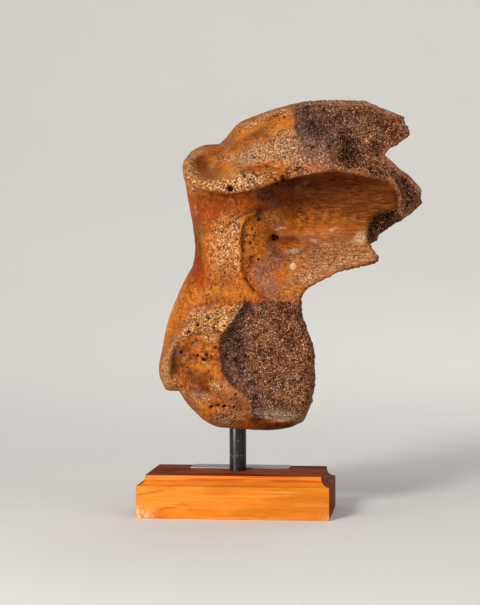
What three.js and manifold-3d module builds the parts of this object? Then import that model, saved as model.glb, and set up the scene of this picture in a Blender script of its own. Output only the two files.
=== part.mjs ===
// A broken end of a fossil mammoth humerus, held up by a steel rod in a wooden base.
// Millimetres, +Z up, front towards -Y. The origin is the middle of the base's underside.

import * as THREE from 'three';
import { mergeVertices } from 'three/addons/utils/BufferGeometryUtils.js';
import Module from 'manifold-3d';

const wasm = await Module();
wasm.setup();

// Driving dimensions of the stand
const BASE_LENGTH = 180;
const BASE_DEPTH = 100;
const BASE_HEIGHT = 40;
const COVE_RADIUS = 7.7;
const COVE_QUIRK = 2;
const ROD_DIAMETER = 16;
const ROD_BOTTOM = 12;
const ROD_TOP = 130;
const PLAQUE_LENGTH = 95;
const PLAQUE_DEPTH = 28;
const PLAQUE_THICKNESS = 1;
const PLAQUE_CENTRE_Y = 26;
const FIT_GAP = 0.3;
const ROUND_SIDES = 40;

// Driving dimensions of the bone: the lowest point of its foot, its highest point, its left and
// right ends, and how far it reaches in front of the rod and behind it
const BONE_LEFT = -76;
const BONE_RIGHT = 176;
const BONE_BOTTOM = 78;
const BONE_TOP = 391;
const BONE_FRONT = -68;
const BONE_BACK = 56;
const FACET = 7.2;

// Places on the bone's front that its forms are set by, as [x, z]
const DISH = [-16, 331];
const DOME = [49, 353.5];
const BROKEN_HOLLOW = [106, 341];
const VESSEL_PIT = [37, 255];
const SMALL_PIT = [15, 240.5];
const RIDGE = [-2, 258.5];
const BOSS = [-34, 104];
const RIM_LEFT = [-68, 137];
const RIM_TOP = [-33, 183.5];

// The bone's outlines are drawn on the upright plane through the rod, as an eye in front of the
// bone sees them: what lies behind that plane is drawn smaller, and what lies before it larger
const EYE = new THREE.Vector3(187, -1670, 241.5);

// Signed distance to a closed outline of smooth and straight runs, positive inside
class Outline {
  constructor(...runs) {
    const path = new THREE.Path();
    path.moveTo(...runs[0].points[0]);
    for (const { smooth, points } of runs) {
      const corners = points.map(([x, z]) => new THREE.Vector2(x, z));
      if (smooth) path.splineThru(corners);
      else corners.forEach((corner) => path.lineTo(corner.x, corner.y));
    }
    path.closePath();
    const stepsPerCurve = 4;
    const ring = path.getPoints(stepsPerCurve);
    this.edges = ring
      .map((a, i) => [a, ring[(i + 1) % ring.length]])
      .filter(([a, b]) => a.distanceTo(b) > 0.01);
  }

  distance(x, z) {
    let nearest = Infinity;
    let inside = false;
    for (const [a, b] of this.edges) {
      const alongX = b.x - a.x;
      const alongZ = b.y - a.y;
      const dot = (x - a.x) * alongX + (z - a.y) * alongZ;
      const part = clamp(dot / (alongX * alongX + alongZ * alongZ), 0, 1);
      nearest = Math.min(nearest, Math.hypot(x - a.x - part * alongX, z - a.y - part * alongZ));
      const crosses = a.y > z !== b.y > z;
      if (crosses && x < a.x + ((z - a.y) * alongX) / alongZ) inside = !inside;
    }
    return inside ? nearest : -nearest;
  }
}

const smooth = (...points) => ({ smooth: true, points });
const straight = (...points) => ({ smooth: false, points });

// The head: a tilted joint face with a dish at its left, a dome, and a broken right end
const HEAD = new Outline(
  smooth([-51, 325], [-51, 331], [-45, 342], [-32, 349], [-17, 350]),
  smooth([-10, 357], [-2, 366], [7.5, 372.5], [36, 382.5], [64, 389], [101, 390], [124, 388.5]),
  straight([130, 385.5], [135, 382], [144, 379.5], [153, 375.5], [157, 373.5], [158.5, 368.5]),
  straight([163, 362.5], [163, 355.5], [155.5, 350.5], [151, 346.5], [144, 344], [139, 338.5]),
  straight([148, 330.5], [153, 325.5], [161.5, 319.5], [168, 312.5], [174, 306], [173, 297.5]),
  straight([175, 292.5], [167, 286], [163, 282], [157.5, 280.5], [151, 283.5]),
  smooth([151.5, 299.5], [142.5, 314], [125.5, 317], [92, 323.5], [44.5, 315.5], [23, 308]),
  smooth([-5.5, 302.5], [-22, 304.5], [-36, 307.5], [-43.5, 311.5], [-49.5, 318.5]),
);

// The neck, and right of it the curved wall that ends in a broken shelf and spur
const NECK = new Outline(
  smooth([-51, 334], [-51, 323], [-49, 310], [-42, 268], [-40.5, 249], [-43, 234]),
  smooth([-52.5, 217], [-68, 178], [-74, 139], [-71, 125.5]),
  straight([-55, 121], [59, 121], [64, 177]),
  smooth([61, 182.5], [59, 198], [60.5, 204.5], [67.5, 214.5]),
  straight([76, 218], [90, 225.5], [97.5, 228.5], [116.5, 232], [126, 234.5], [135, 237.5]),
  straight([135, 241], [129, 249], [125.5, 255], [123, 260.5]),
  smooth([124, 267], [130, 281], [146, 286], [158, 294], [160, 306], [150, 318]),
  straight([125.5, 344], [-36, 339]),
);

// The mass behind the wall, seen through the bite at the right
const REAR = new Outline(
  straight([59, 372.5], [125.5, 372.5], [140.5, 330], [153, 323], [165, 306], [173.5, 292.5]),
  straight([163, 282], [153, 276], [142.5, 270], [135, 263.5], [132, 259], [116, 249]),
  straight([97, 237.5], [76, 222.5], [61.5, 213], [58, 201.5], [57, 173], [-17, 173]),
  straight([-22, 249], [-7.5, 315.5]),
);

// The foot: a raised rim round a pitted hollow, a boss under it, and a broken right half
const FOOT = new Outline(
  smooth([60, 199], [4.5, 199], [-26.5, 194], [-50.5, 178], [-67.5, 155], [-74, 139]),
  smooth([-74.5, 130.5], [-70, 118], [-64.5, 115.5], [-55.5, 115.5]),
  smooth([-50.5, 106.5], [-36, 90], [-21, 81.5], [-9.5, 80], [28.5, 78.5], [49.5, 80.5], [61.5, 87]),
  straight([65.5, 93.5], [71, 106.5], [73.5, 121], [73, 149.5], [70, 164], [64, 177], [59.5, 190.5]),
);

const FOOT_HOLLOW = new Outline(
  smooth([-4, 173], [-15, 170.5], [-36, 172], [-47.5, 167.5], [-60.5, 149.5], [-62.5, 139]),
  smooth([-61, 127.5], [-55, 116], [-45.5, 102]),
  straight([-45.5, 59.5], [106.5, 59.5], [106.5, 173]),
);

const FOOT_BREAK = new Outline(
  smooth([13.5, 216], [7.5, 201.5], [-4.5, 181], [-15.5, 167.5], [-17, 159], [-16, 139]),
  smooth([-14, 130.5], [-2, 117.5], [10.5, 107.5], [13.5, 90.5]),
  straight([23, 88.5], [60.5, 87], [106.5, 87], [106.5, 216]),
);

// The rough hollow beside the neck's ridge
const SIDE_HOLLOW = new Outline(
  smooth([44.5, 296.5], [26.5, 290], [13.5, 285], [6.5, 277.5], [2.5, 251], [3, 235]),
  smooth([7.5, 220.5], [15, 210], [28.5, 199.5]),
  straight([153.5, 199.5], [153.5, 296.5]),
);

// How far back the outermost edge of each broken side lies, by height
const RIGHT_END_EDGE = [[250, 10], [282, -30], [315, -38], [344, -34], [368, -12], [390, 12]];
const SHELF_EDGE = [[211, -34], [238, -28], [259, -14], [297, -6]];

// Front surfaces by height: the neck's column and the wall right of it
const COLUMN_FRONT = [
  [164, -20], [185, -42], [202, -46], [221, -44], [249, -42], [278, -44.5], [300, -50], [317, -56],
];
const WALL_FRONT = [
  [178, -20], [197, -36], [211, -38], [225, -35], [240, -28], [254, -19], [273, -11], [292, -9],
  [310, -12], [323, -18],
];
const FOOT_FRONT = [
  [78, -42], [107, -52], [135, -55], [168, -54], [187, -51], [202, -43], [216, -34],
];

// Back surfaces by height
const HEAD_BACK = [[282, 46], [306, 53], [330, 52], [353, 46], [372, 36], [391, 22]];
const NECK_BACK = [[192, 44], [225, 33], [254, 31], [282, 36], [311, 46]];
const REAR_BACK = [[211, 34], [268, 36], [315, 44]];

function clamp(value, low, high) {
  return Math.min(high, Math.max(low, value));
}

// Rises smoothly from 0 at a to 1 at b
function ramp(a, b, value) {
  return THREE.MathUtils.smootherstep(Math.sign(b - a) * (value - a), 0, Math.abs(b - a));
}

// A smooth line through [at, value] pairs, level beyond its ends
function along(points, at) {
  const last = points.length - 1;
  const place = clamp(at, points[0][0], points[last][0]);
  const i = clamp(points.findIndex((point) => point[0] >= place) - 1, 0, last - 1);
  const slope = (k) => {
    if (k === 0 || k === last) return 0;
    return (points[k + 1][1] - points[k - 1][1]) / (points[k + 1][0] - points[k - 1][0]);
  };
  const span = points[i + 1][0] - points[i][0];
  const t = (place - points[i][0]) / span;
  const start = (2 * t ** 3 - 3 * t ** 2 + 1) * points[i][1] + (t ** 3 - 2 * t ** 2 + t) * span * slope(i);
  const end = (3 * t ** 2 - 2 * t ** 3) * points[i + 1][1] + (t ** 3 - t ** 2) * span * slope(i + 1);
  return start + end;
}

// Distance from a place in units of an oval's half sizes, the oval turned by degrees
function ovalDistance(x, z, [centreX, centreZ], halfWidth, halfHeight, degrees = 0) {
  const turn = THREE.MathUtils.degToRad(degrees);
  const across = (x - centreX) * Math.cos(turn) + (z - centreZ) * Math.sin(turn);
  const up = (z - centreZ) * Math.cos(turn) - (x - centreX) * Math.sin(turn);
  return Math.hypot(across / halfWidth, up / halfHeight);
}

// A soft hollow (positive) or swelling (negative) of the front surface
function hollow(x, z, centre, halfWidth, halfHeight, depth, degrees) {
  return depth * Math.exp(-(ovalDistance(x, z, centre, halfWidth, halfHeight, degrees) ** 2));
}

// Joins two solids with a soft fillet about as wide as blend
function join(a, b, blend) {
  const share = clamp(0.5 + (0.5 * (b - a)) / blend, 0, 1);
  return b * (1 - share) + a * share - blend * share * (1 - share);
}

// A plate inside an outline between two depths, with its front and back edges rounded
function plate(inset, y, front, back, frontRound, backRound) {
  const middle = (front + back) / 2;
  const half = (back - front) / 2;
  const round = Math.min(y < middle ? frontRound : backRound, half - 0.5);
  const side = round - inset;
  const face = Math.abs(y - middle) - (half - round);
  return Math.hypot(Math.max(side, 0), Math.max(face, 0)) + Math.min(Math.max(side, face), 0) - round;
}

// Slow uneven waves between -1 and 1, a length of size apart
function waves(x, y, z, size) {
  const k = (2 * Math.PI) / size;
  const first = Math.sin(k * (x + 0.6 * y) + 1.3 + 1.1 * Math.sin(0.7 * k * z));
  const second = Math.sin(k * (0.8 * y - 0.5 * z) + 0.4);
  const third = Math.sin(k * (0.9 * z + 0.5 * x) + 2.1 + 1.2 * Math.sin(0.8 * k * y));
  return (first * second + third) / 2;
}

// How far a broken side has worn back from its outermost edge, less in front than behind
function wornBack(y, edge, slope) {
  const rounding = 10;
  const away = Math.hypot(y - edge, rounding) - rounding;
  return slope * away * (y < edge ? 0.3 : 1);
}

function headFront(x, z) {
  const lip = -60 + 4 * ramp(97, 163, x);
  const lipHeight = 315.5 - 5 * ramp(11, -22, x);
  const up = z - lipHeight;
  const lean = 0.78 + ramp(87, -45, x);
  let y = lip + lean * (Math.hypot(Math.max(up, 0), 5) - 5) + 0.3 * Math.min(up, 0);
  y += 6.5 * ramp(1.15, 0.35, ovalDistance(x, z, DISH, 31, 15, -4));
  y += hollow(x, z, [23, 327], 28, 6, 3, 5);
  y += hollow(x, z, DOME, 50, 20, -7, 12);
  y += hollow(x, z, BROKEN_HOLLOW, 17, 13, 8, 20);
  y += hollow(x, z, [68, 367], 14, 18, 3);
  return y + 5 * ramp(106, 163, x);
}

function neckFront(x, z) {
  const roundness = clamp((-11 - x) / 38, 0, 1.4) ** 2;
  const column = along(COLUMN_FRONT, z) + 8 * roundness * ramp(154, 230, z);
  let y = THREE.MathUtils.lerp(column, along(WALL_FRONT, z), ramp(-6, 76, x));
  y += 3.2 * ramp(-4, 6, SIDE_HOLLOW.distance(x, z)) * ramp(64, 16, x);
  y += hollow(x, z, VESSEL_PIT, 8, 12, 6);
  y += hollow(x, z, SMALL_PIT, 5, 3, 3.5);
  y += hollow(x, z, RIDGE, 5, 26, -2);
  return y + hollow(x, z, [-22, 262.5], 12, 30, 1.5);
}

function footFront(x, z) {
  let y = along(FOOT_FRONT, z);
  const hollowShare = ramp(23, -12, x) * ramp(101, 145, z);
  y += 5 * ramp(-8, 10, FOOT_HOLLOW.distance(x, z)) * hollowShare;
  y += hollow(x, z, BOSS, 28, 21, -9, -10);
  y += hollow(x, z, [-23, 123], 26, 9, 2, 20);
  y += hollow(x, z, [-39, 156], 16, 15, 3.5, -20);
  y += hollow(x, z, [-55, 138], 7, 20, 2.5, -8);
  y += hollow(x, z, RIM_TOP, 9, 24, -3.5, -62);
  y += hollow(x, z, RIM_LEFT, 6, 24, -3);
  const scoop = hollow(x, z, [1, 152], 15, 34, 7) + hollow(x, z, [47, 168], 22, 28, 5);
  const lowSwell = hollow(x, z, [35, 107], 50, 14, -4);
  const depth = 2.5 + scoop + lowSwell - 2.5 * ramp(-2, 59, x);
  return y + depth * ramp(-3, 7, FOOT_BREAK.distance(x, z));
}

function headSolid(x, y, z, lump, inset) {
  const back = along(HEAD_BACK, z) - 10 * ramp(87, 173, x) + 1.2 * lump;
  const front = join(headFront(x, z), back - 9, 6);
  const frontRound = 7 + 18 * ramp(317, 374, z) * ramp(154, 40, x);
  return plate(inset, y, front, back, frontRound, 12 + 22 * ramp(135, 59, x));
}

function neckSolid(x, y, z, headInset, footInset) {
  const worn = ramp(59, 87, x) * wornBack(y, along(SHELF_EDGE, z), 0.5);
  const front = neckFront(x, z) + 14 * ramp(-1, 12, headInset) + 14 * ramp(2, 16, footInset);
  const thinner = 26 * ramp(49, 92, x);
  const back = along(NECK_BACK, z) - thinner + hollow(x, z, [11, 263], 22, 60, -5);
  const frontRound = 3 + 20 * ramp(49, -22, x);
  return plate(NECK.distance(x, z) - worn, y, front, back, frontRound, 3 + 35 * ramp(78, 21, x));
}

function rearSolid(x, y, z, lump) {
  const worn = wornBack(y, 18 + 8 * lump, 0.5);
  return plate(REAR.distance(x, z) - worn, y, 2 + 4 * lump, along(REAR_BACK, z) + 2 * lump, 6, 16);
}

function footSolid(x, y, z, inset) {
  const back = 49 - 4 * ramp(173, 202, z) + hollow(x, z, [-12, 135], 40, 30, 2);
  const frontRound = 7 + ramp(59, 7, x) * (8 + 10 * ramp(133, 95, z));
  return plate(inset, y, footFront(x, z), back, frontRound, 14 + 22 * ramp(68, 30, x));
}

// Signed distance to the whole bone, negative inside
function bone(point) {
  const shrink = EYE.y / (EYE.y - point.y);
  const x = EYE.x + (point.x - EYE.x) * shrink;
  const z = EYE.z + (point.z - EYE.z) * shrink;
  const y = point.y;
  const lump = waves(point.x, y, point.z, 58);
  const chips = waves(point.x, y, point.z, 70);
  const headWorn = wornBack(y, along(RIGHT_END_EDGE, z), 0.3 + 0.12 * chips) * ramp(-62, -35, y);
  const headInset = HEAD.distance(x, z) - ramp(76, 146, x) * headWorn;
  const footWorn = wornBack(y, -22 + 10 * lump, 0.16 + 0.08 * lump);
  const heelWorn = wornBack(y, -12, 0.35);
  const footInset = FOOT.distance(x, z) - ramp(23, 66, x) * footWorn - ramp(130, 88, z) * heelWorn;
  const neck = join(neckSolid(x, y, z, headInset, footInset), rearSolid(x, y, z, lump), 5);
  const upper = join(headSolid(x, y, z, lump, headInset), neck, 4);
  return join(upper, footSolid(x, y, z, footInset), 6);
}

// Moves a point onto the surface along the steepest way
function settle(point) {
  const probe = 0.5;
  const step = new THREE.Vector3();
  const slope = new THREE.Vector3();
  for (let round = 0; round < 4; round += 1) {
    const here = bone(point);
    for (const axis of ['x', 'y', 'z']) {
      step.copy(point);
      step[axis] += probe;
      slope[axis] = (bone(step) - here) / probe;
    }
    const move = clamp(here / Math.max(slope.lengthSq(), 0.25), -1.5, 1.5);
    point.addScaledVector(slope, -move);
  }
  return point;
}

// Facets of a signed distance: one corner in each grid cell that the surface crosses, and one
// four-sided face round each grid edge that it crosses
function facets(distance, low, high, cell) {
  const counts = ['x', 'y', 'z'].map((axis) => Math.ceil((high[axis] - low[axis]) / cell) + 1);
  const strides = [1, counts[0], counts[0] * counts[1]];
  const place = (i, j, k) => new THREE.Vector3(i, j, k).multiplyScalar(cell).add(low);
  const values = new Float64Array(counts[0] * counts[1] * counts[2]);
  const corners = [];
  const cornerOfCell = new Map();
  const triangles = [];

  const everyPlace = (visit) => {
    for (let k = 0; k < counts[2]; k += 1) {
      for (let j = 0; j < counts[1]; j += 1) {
        for (let i = 0; i < counts[0]; i += 1) visit(i, j, k, i + j * strides[1] + k * strides[2]);
      }
    }
  };

  everyPlace((i, j, k, index) => {
    values[index] = distance(place(i, j, k));
  });

  // Where the surface would cross itself on a side of a cell, it is filled in
  const fillCrossings = () => {
    let filled = 0;
    everyPlace((i, j, k, index) => {
      for (let axis = 0; axis < 3; axis += 1) {
        const ends = [i, j, k].map((n, other) => other !== axis && n === counts[other] - 1);
        if (ends.includes(true)) continue;
        const right = index + strides[(axis + 1) % 3];
        const up = index + strides[(axis + 2) % 3];
        const around = [index, right, right + up - index, up];
        const signs = around.map((n) => values[n] < 0);
        if (signs[0] !== signs[2] || signs[1] !== signs[3] || signs[0] === signs[1]) continue;
        const outer = around.filter((n) => values[n] >= 0);
        values[values[outer[0]] < values[outer[1]] ? outer[0] : outer[1]] = -0.1 * cell;
        filled += 1;
      }
    });
    return filled;
  };
  while (fillCrossings() > 0);

  // The mean of the places where the surface crosses the edges of one cell
  const crossingMean = (i, j, k, index) => {
    const mean = new THREE.Vector3();
    let found = 0;
    for (let axis = 0; axis < 3; axis += 1) {
      const others = [0, 1, 2].filter((other) => other !== axis);
      for (let side = 0; side < 4; side += 1) {
        const offset = [0, 0, 0];
        offset[others[0]] = side & 1;
        offset[others[1]] = side >> 1;
        const from = index + offset.reduce((sum, shift, n) => sum + shift * strides[n], 0);
        const to = from + strides[axis];
        if (values[from] < 0 === values[to] < 0) continue;
        const crossing = place(i + offset[0], j + offset[1], k + offset[2]);
        const share = values[from] / (values[from] - values[to]);
        crossing.setComponent(axis, crossing.getComponent(axis) + share * cell);
        mean.add(crossing);
        found += 1;
      }
    }
    return found > 0 ? mean.divideScalar(found) : null;
  };

  everyPlace((i, j, k, index) => {
    if (i === counts[0] - 1 || j === counts[1] - 1 || k === counts[2] - 1) return;
    const mean = crossingMean(i, j, k, index);
    if (!mean) return;
    cornerOfCell.set(index, corners.length);
    corners.push(settle(mean));
  });

  everyPlace((i, j, k, index) => {
    for (let axis = 0; axis < 3; axis += 1) {
      const inside = values[index] < 0;
      if ([i, j, k][axis] === counts[axis] - 1) continue;
      if (inside === values[index + strides[axis]] < 0) continue;
      const right = strides[(axis + 1) % 3];
      const up = strides[(axis + 2) % 3];
      const cells = [index - right - up, index - up, index, index - right];
      const [a, b, c, d] = (inside ? cells : cells.reverse()).map((n) => cornerOfCell.get(n));
      const shortFirst = corners[a].distanceTo(corners[c]) < corners[b].distanceTo(corners[d]);
      triangles.push(...(shortFirst ? [a, b, c, a, c, d] : [a, b, d, b, c, d]));
    }
  });

  const geometry = new THREE.BufferGeometry().setFromPoints(corners);
  geometry.setIndex(triangles);
  return geometry;
}

function toSolid(geometry) {
  const bare = geometry.clone();
  bare.deleteAttribute('normal');
  bare.deleteAttribute('uv');
  const merged = mergeVertices(bare, 1e-4);
  return new wasm.Manifold(new wasm.Mesh({
    numProp: 3,
    vertProperties: new Float32Array(merged.attributes.position.array),
    triVerts: new Uint32Array(merged.index.array),
  }));
}

function toGeometry(solid) {
  const { vertProperties, triVerts } = solid.getMesh();
  const geometry = new THREE.BufferGeometry();
  geometry.setAttribute('position', new THREE.BufferAttribute(vertProperties, 3));
  geometry.setIndex(new THREE.BufferAttribute(triVerts, 1));
  return geometry;
}

function uprightCylinder(diameter, bottom, top) {
  const cylinder = new THREE.CylinderGeometry(diameter / 2, diameter / 2, top - bottom, ROUND_SIDES);
  return cylinder.rotateX(Math.PI / 2).translate(0, 0, (top + bottom) / 2);
}

// The bone with the blind hole that the rod goes up into
function humerusGeometry() {
  const margin = FACET;
  const low = new THREE.Vector3(BONE_LEFT, BONE_FRONT, BONE_BOTTOM).subScalar(margin);
  const high = new THREE.Vector3(BONE_RIGHT, BONE_BACK, BONE_TOP).addScalar(margin);
  const hole = uprightCylinder(ROD_DIAMETER + 2 * FIT_GAP, BONE_BOTTOM - 20, ROD_TOP + FIT_GAP);
  return toGeometry(toSolid(facets(bone, low, high, FACET)).subtract(toSolid(hole)));
}

// The waste that a cove cutter takes from the top edge of one side of the base
function coveCut(length) {
  const spare = 5;
  const section = new THREE.Shape();
  section.moveTo(-COVE_RADIUS, spare);
  section.lineTo(-COVE_RADIUS, -COVE_QUIRK);
  section.absarc(0, -COVE_QUIRK, COVE_RADIUS, Math.PI, 1.5 * Math.PI, false);
  section.lineTo(spare, -COVE_QUIRK - COVE_RADIUS);
  section.lineTo(spare, spare);
  section.closePath();
  const cut = new THREE.ExtrudeGeometry(section, {
    depth: length + 2 * spare,
    bevelEnabled: false,
    curveSegments: 8,
  });
  return cut.translate(0, 0, -length / 2 - spare).rotateX(Math.PI / 2);
}

function baseGeometry() {
  const plank = new THREE.BoxGeometry(BASE_LENGTH, BASE_DEPTH, BASE_HEIGHT);
  plank.translate(0, 0, BASE_HEIGHT / 2);
  const hole = uprightCylinder(ROD_DIAMETER + 2 * FIT_GAP, ROD_BOTTOM, BASE_HEIGHT + 5);
  let solid = toSolid(plank).subtract(toSolid(hole));
  const sides = [
    { turn: 0, reach: BASE_LENGTH / 2, length: BASE_DEPTH },
    { turn: Math.PI / 2, reach: BASE_DEPTH / 2, length: BASE_LENGTH },
    { turn: Math.PI, reach: BASE_LENGTH / 2, length: BASE_DEPTH },
    { turn: 1.5 * Math.PI, reach: BASE_DEPTH / 2, length: BASE_LENGTH },
  ];
  for (const { turn, reach, length } of sides) {
    const cut = coveCut(length).translate(reach, 0, BASE_HEIGHT).rotateZ(turn);
    solid = solid.subtract(toSolid(cut));
  }
  return toGeometry(solid);
}

function plaqueGeometry() {
  const plate = new THREE.BoxGeometry(PLAQUE_LENGTH, PLAQUE_DEPTH, PLAQUE_THICKNESS);
  return plate.translate(0, PLAQUE_CENTRE_Y, BASE_HEIGHT + PLAQUE_THICKNESS / 2);
}

function piece(name, geometry, colour, roughness, metalness) {
  const material = new THREE.MeshStandardMaterial({ color: colour, roughness, metalness });
  const mesh = new THREE.Mesh(geometry, material);
  mesh.name = name;
  return mesh;
}

const group = new THREE.Group();
group.add(
  piece('humerus', humerusGeometry(), 0xa9682f, 0.65, 0),
  piece('rod', uprightCylinder(ROD_DIAMETER, ROD_BOTTOM, ROD_TOP), 0x1b1b1d, 0.4, 0.3),
  piece('base', baseGeometry(), 0xb5722f, 0.5, 0),
  piece('plaque', plaqueGeometry(), 0xb9b7b2, 0.35, 0.9),
);

export default group;
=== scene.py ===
import math

import bmesh
import bpy
import numpy as np
from bpy.props import FloatProperty, FloatVectorProperty, PointerProperty
from mathutils import Matrix, Quaternion, Vector


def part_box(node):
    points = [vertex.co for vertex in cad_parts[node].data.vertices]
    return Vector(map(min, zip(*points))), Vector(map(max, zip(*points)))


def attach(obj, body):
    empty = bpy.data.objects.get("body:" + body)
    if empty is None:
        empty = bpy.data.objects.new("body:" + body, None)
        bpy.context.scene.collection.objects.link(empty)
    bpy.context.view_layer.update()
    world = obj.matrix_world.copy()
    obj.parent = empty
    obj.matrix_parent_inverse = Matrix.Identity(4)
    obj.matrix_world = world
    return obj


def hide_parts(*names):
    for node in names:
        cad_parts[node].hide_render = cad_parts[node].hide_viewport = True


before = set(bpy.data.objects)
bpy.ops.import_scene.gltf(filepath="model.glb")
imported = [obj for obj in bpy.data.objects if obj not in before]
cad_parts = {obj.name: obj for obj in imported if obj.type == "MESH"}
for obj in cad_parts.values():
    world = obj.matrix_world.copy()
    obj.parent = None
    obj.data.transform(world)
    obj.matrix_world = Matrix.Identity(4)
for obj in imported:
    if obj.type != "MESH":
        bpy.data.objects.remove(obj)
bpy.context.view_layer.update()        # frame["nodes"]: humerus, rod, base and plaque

bl_info = {
    "name": "Fossil humerus on a stand",
    "version": (1, 0, 0),
    "blender": (4, 5, 0),
    "location": "3D View > Sidebar > Fossil",
    "description": "A broken mammoth humerus on a steel rod in a wooden base",
    "category": "Object",
}

MM = 0.001
SAME_PLACE = 0.001 * MM  # vertices closer than this are merged
SEED = 41


def colour(code):
    """A linear colour from a hex code of screen values."""
    parts = [int(code[i:i + 2], 16) / 255 for i in (0, 2, 4)]
    return tuple(v / 12.92 if v < 0.04045 else ((v + 0.055) / 1.055) ** 2.4 for v in parts)


# The bone's form, in millimetres, as arrays of places

EYE = np.array([187.0, -1670.0, 241.5])  # where the photograph is taken from
DISH = (-22, 331)
DOME = (49, 353.5)
BROKEN_HOLLOW = (106, 341)
VESSEL_PIT = (37, 255)
SMALL_PIT = (14.5, 240.5)
NET = ((60, 322.5), 15.5, 5.5, -12)  # centre, half width, half height, turn in degrees
BOSS = (-34, 104)
PAN = (-32, 130)
RIM_LEFT = (-68, 137)
RIM_TOP = (-33, 183.5)
ROD_HOLE_RADIUS = 8.3
ROD_HOLE_TOP = 130.3


def run_distance(x, z, start, end):
    """Distance from places to the straight run between two points."""
    across, up = end[0] - start[0], end[1] - start[1]
    dot = (x - start[0]) * across + (z - start[1]) * up
    part = np.clip(dot / (across**2 + up**2), 0, 1)
    return np.hypot(x - start[0] - part * across, z - start[1] - part * up)


def smooth(*points):
    return True, points


def straight(*points):
    return False, points


class Outline:
    """Signed distance to a closed outline of smooth and straight runs, positive inside."""

    LOW = (-100.0, 55.0)
    HIGH = (200.0, 415.0)

    def __init__(self, *runs):
        ring = [runs[0][1][0]]
        for is_smooth, points in runs:
            ring += self.spline([ring[-1], *points]) if is_smooth else list(points)
        ring = np.array(ring, float)
        steps = np.linalg.norm(np.roll(ring, -1, axis=0) - ring, axis=1)
        ring = ring[steps > 0.01]
        xs = np.arange(self.LOW[0], self.HIGH[0] + 1)
        zs = np.arange(self.LOW[1], self.HIGH[1] + 1)
        across, up = np.meshgrid(xs, zs, indexing="ij")
        self.grid = self.exact(ring, across, up)

    @staticmethod
    def spline(points):
        points = np.array(points, float)
        ends = [points[0], *points, points[-1]]
        out = []
        for before, start, end, after in zip(ends, ends[1:], ends[2:], ends[3:]):
            leave = (end - before) / 2
            arrive = (after - start) / 2
            for t in (0.25, 0.5, 0.75, 1.0):
                cubic = (2 * start - 2 * end + leave + arrive) * t**3
                square = (3 * end - 3 * start - 2 * leave - arrive) * t**2
                out.append(cubic + square + leave * t + start)
        return out

    @staticmethod
    def exact(ring, x, z):
        nearest = np.full(x.shape, np.inf)
        inside = np.zeros(x.shape, bool)
        for start, end in zip(ring, np.roll(ring, -1, axis=0)):
            nearest = np.minimum(nearest, run_distance(x, z, start, end))
            (ax, az), (bx, bz) = start, end
            if az != bz:
                inside ^= ((az > z) != (bz > z)) & (x < ax + (z - az) * (bx - ax) / (bz - az))
        return np.where(inside, nearest, -nearest)

    def __call__(self, x, z):
        u = np.clip(x - self.LOW[0], 0, self.grid.shape[0] - 1.001)
        w = np.clip(z - self.LOW[1], 0, self.grid.shape[1] - 1.001)
        i, j = u.astype(int), w.astype(int)
        right, up = u - i, w - j
        low = self.grid[i, j] * (1 - right) + self.grid[i + 1, j] * right
        high = self.grid[i, j + 1] * (1 - right) + self.grid[i + 1, j + 1] * right
        return low * (1 - up) + high * up


HEAD = Outline(
    smooth((-51, 325), (-51, 331), (-45, 342), (-32, 349), (-17, 350)),
    smooth((-10, 357), (-2, 366), (7.5, 372.5), (36, 382.5), (64, 389), (101, 390), (124, 388.5)),
    straight((130, 385.5), (135, 382), (144, 379.5), (153, 375.5), (157, 373.5), (158.5, 368.5)),
    straight((163, 362.5), (163, 355.5), (155.5, 350.5), (151, 346.5), (144, 344), (139, 338.5)),
    straight((148, 330.5), (153, 325.5), (161.5, 319.5), (168, 312.5), (174, 306), (173, 297.5)),
    straight((175, 292.5), (167, 286), (163, 282), (157.5, 280.5), (151, 283.5)),
    smooth((151.5, 299.5), (142.5, 314), (125.5, 317), (92, 323.5), (44.5, 315.5), (23, 308)),
    smooth((-5.5, 302.5), (-22, 304.5), (-36, 307.5), (-43.5, 311.5), (-49.5, 318.5)),
)
NECK = Outline(
    smooth((-51, 334), (-51, 323), (-49, 310), (-42, 268), (-40.5, 249), (-43, 234)),
    smooth((-52.5, 217), (-68, 178), (-74, 139), (-71, 125.5)),
    straight((-55, 121), (59, 121), (64, 177)),
    smooth((61, 182.5), (59, 198), (60.5, 204.5), (67.5, 214.5)),
    straight((76, 218), (90, 225.5), (97.5, 228.5), (116.5, 232), (126, 234.5), (135, 237.5)),
    straight((135, 241), (129, 249), (125.5, 255), (123, 260.5)),
    smooth((124, 267), (130, 281), (146, 286), (158, 294), (160, 306), (150, 318)),
    straight((125.5, 344), (-36, 339)),
)
REAR = Outline(
    straight((59, 372.5), (125.5, 372.5), (140.5, 330), (153, 323), (165, 306), (173.5, 292.5)),
    straight((163, 282), (153, 276), (142.5, 270), (135, 263.5), (132, 259), (116, 249)),
    straight((97, 237.5), (76, 222.5), (61.5, 213), (58, 201.5), (57, 173), (-17, 173)),
    straight((-22, 249), (-7.5, 315.5)),
)
FOOT = Outline(
    smooth((60, 199), (4.5, 199), (-26.5, 194), (-50.5, 178), (-67.5, 155), (-74, 139)),
    smooth((-74.5, 130.5), (-70, 118), (-64.5, 115.5), (-55.5, 115.5)),
    smooth(
        (-50.5, 106.5), (-36, 90), (-21, 81.5), (-9.5, 80), (28.5, 78.5), (49.5, 80.5), (61.5, 87),
    ),
    straight((65.5, 93.5), (71, 106.5), (73.5, 121), (73, 149.5), (70, 164), (64, 177)),
    straight((59.5, 190.5)),
)
FOOT_HOLLOW = Outline(
    smooth((-4, 173), (-15, 170.5), (-36, 172), (-47.5, 167.5), (-60.5, 149.5), (-62.5, 139)),
    smooth((-61, 127.5), (-55, 116), (-45.5, 102)),
    straight((-45.5, 59.5), (106.5, 59.5), (106.5, 173)),
)
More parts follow.
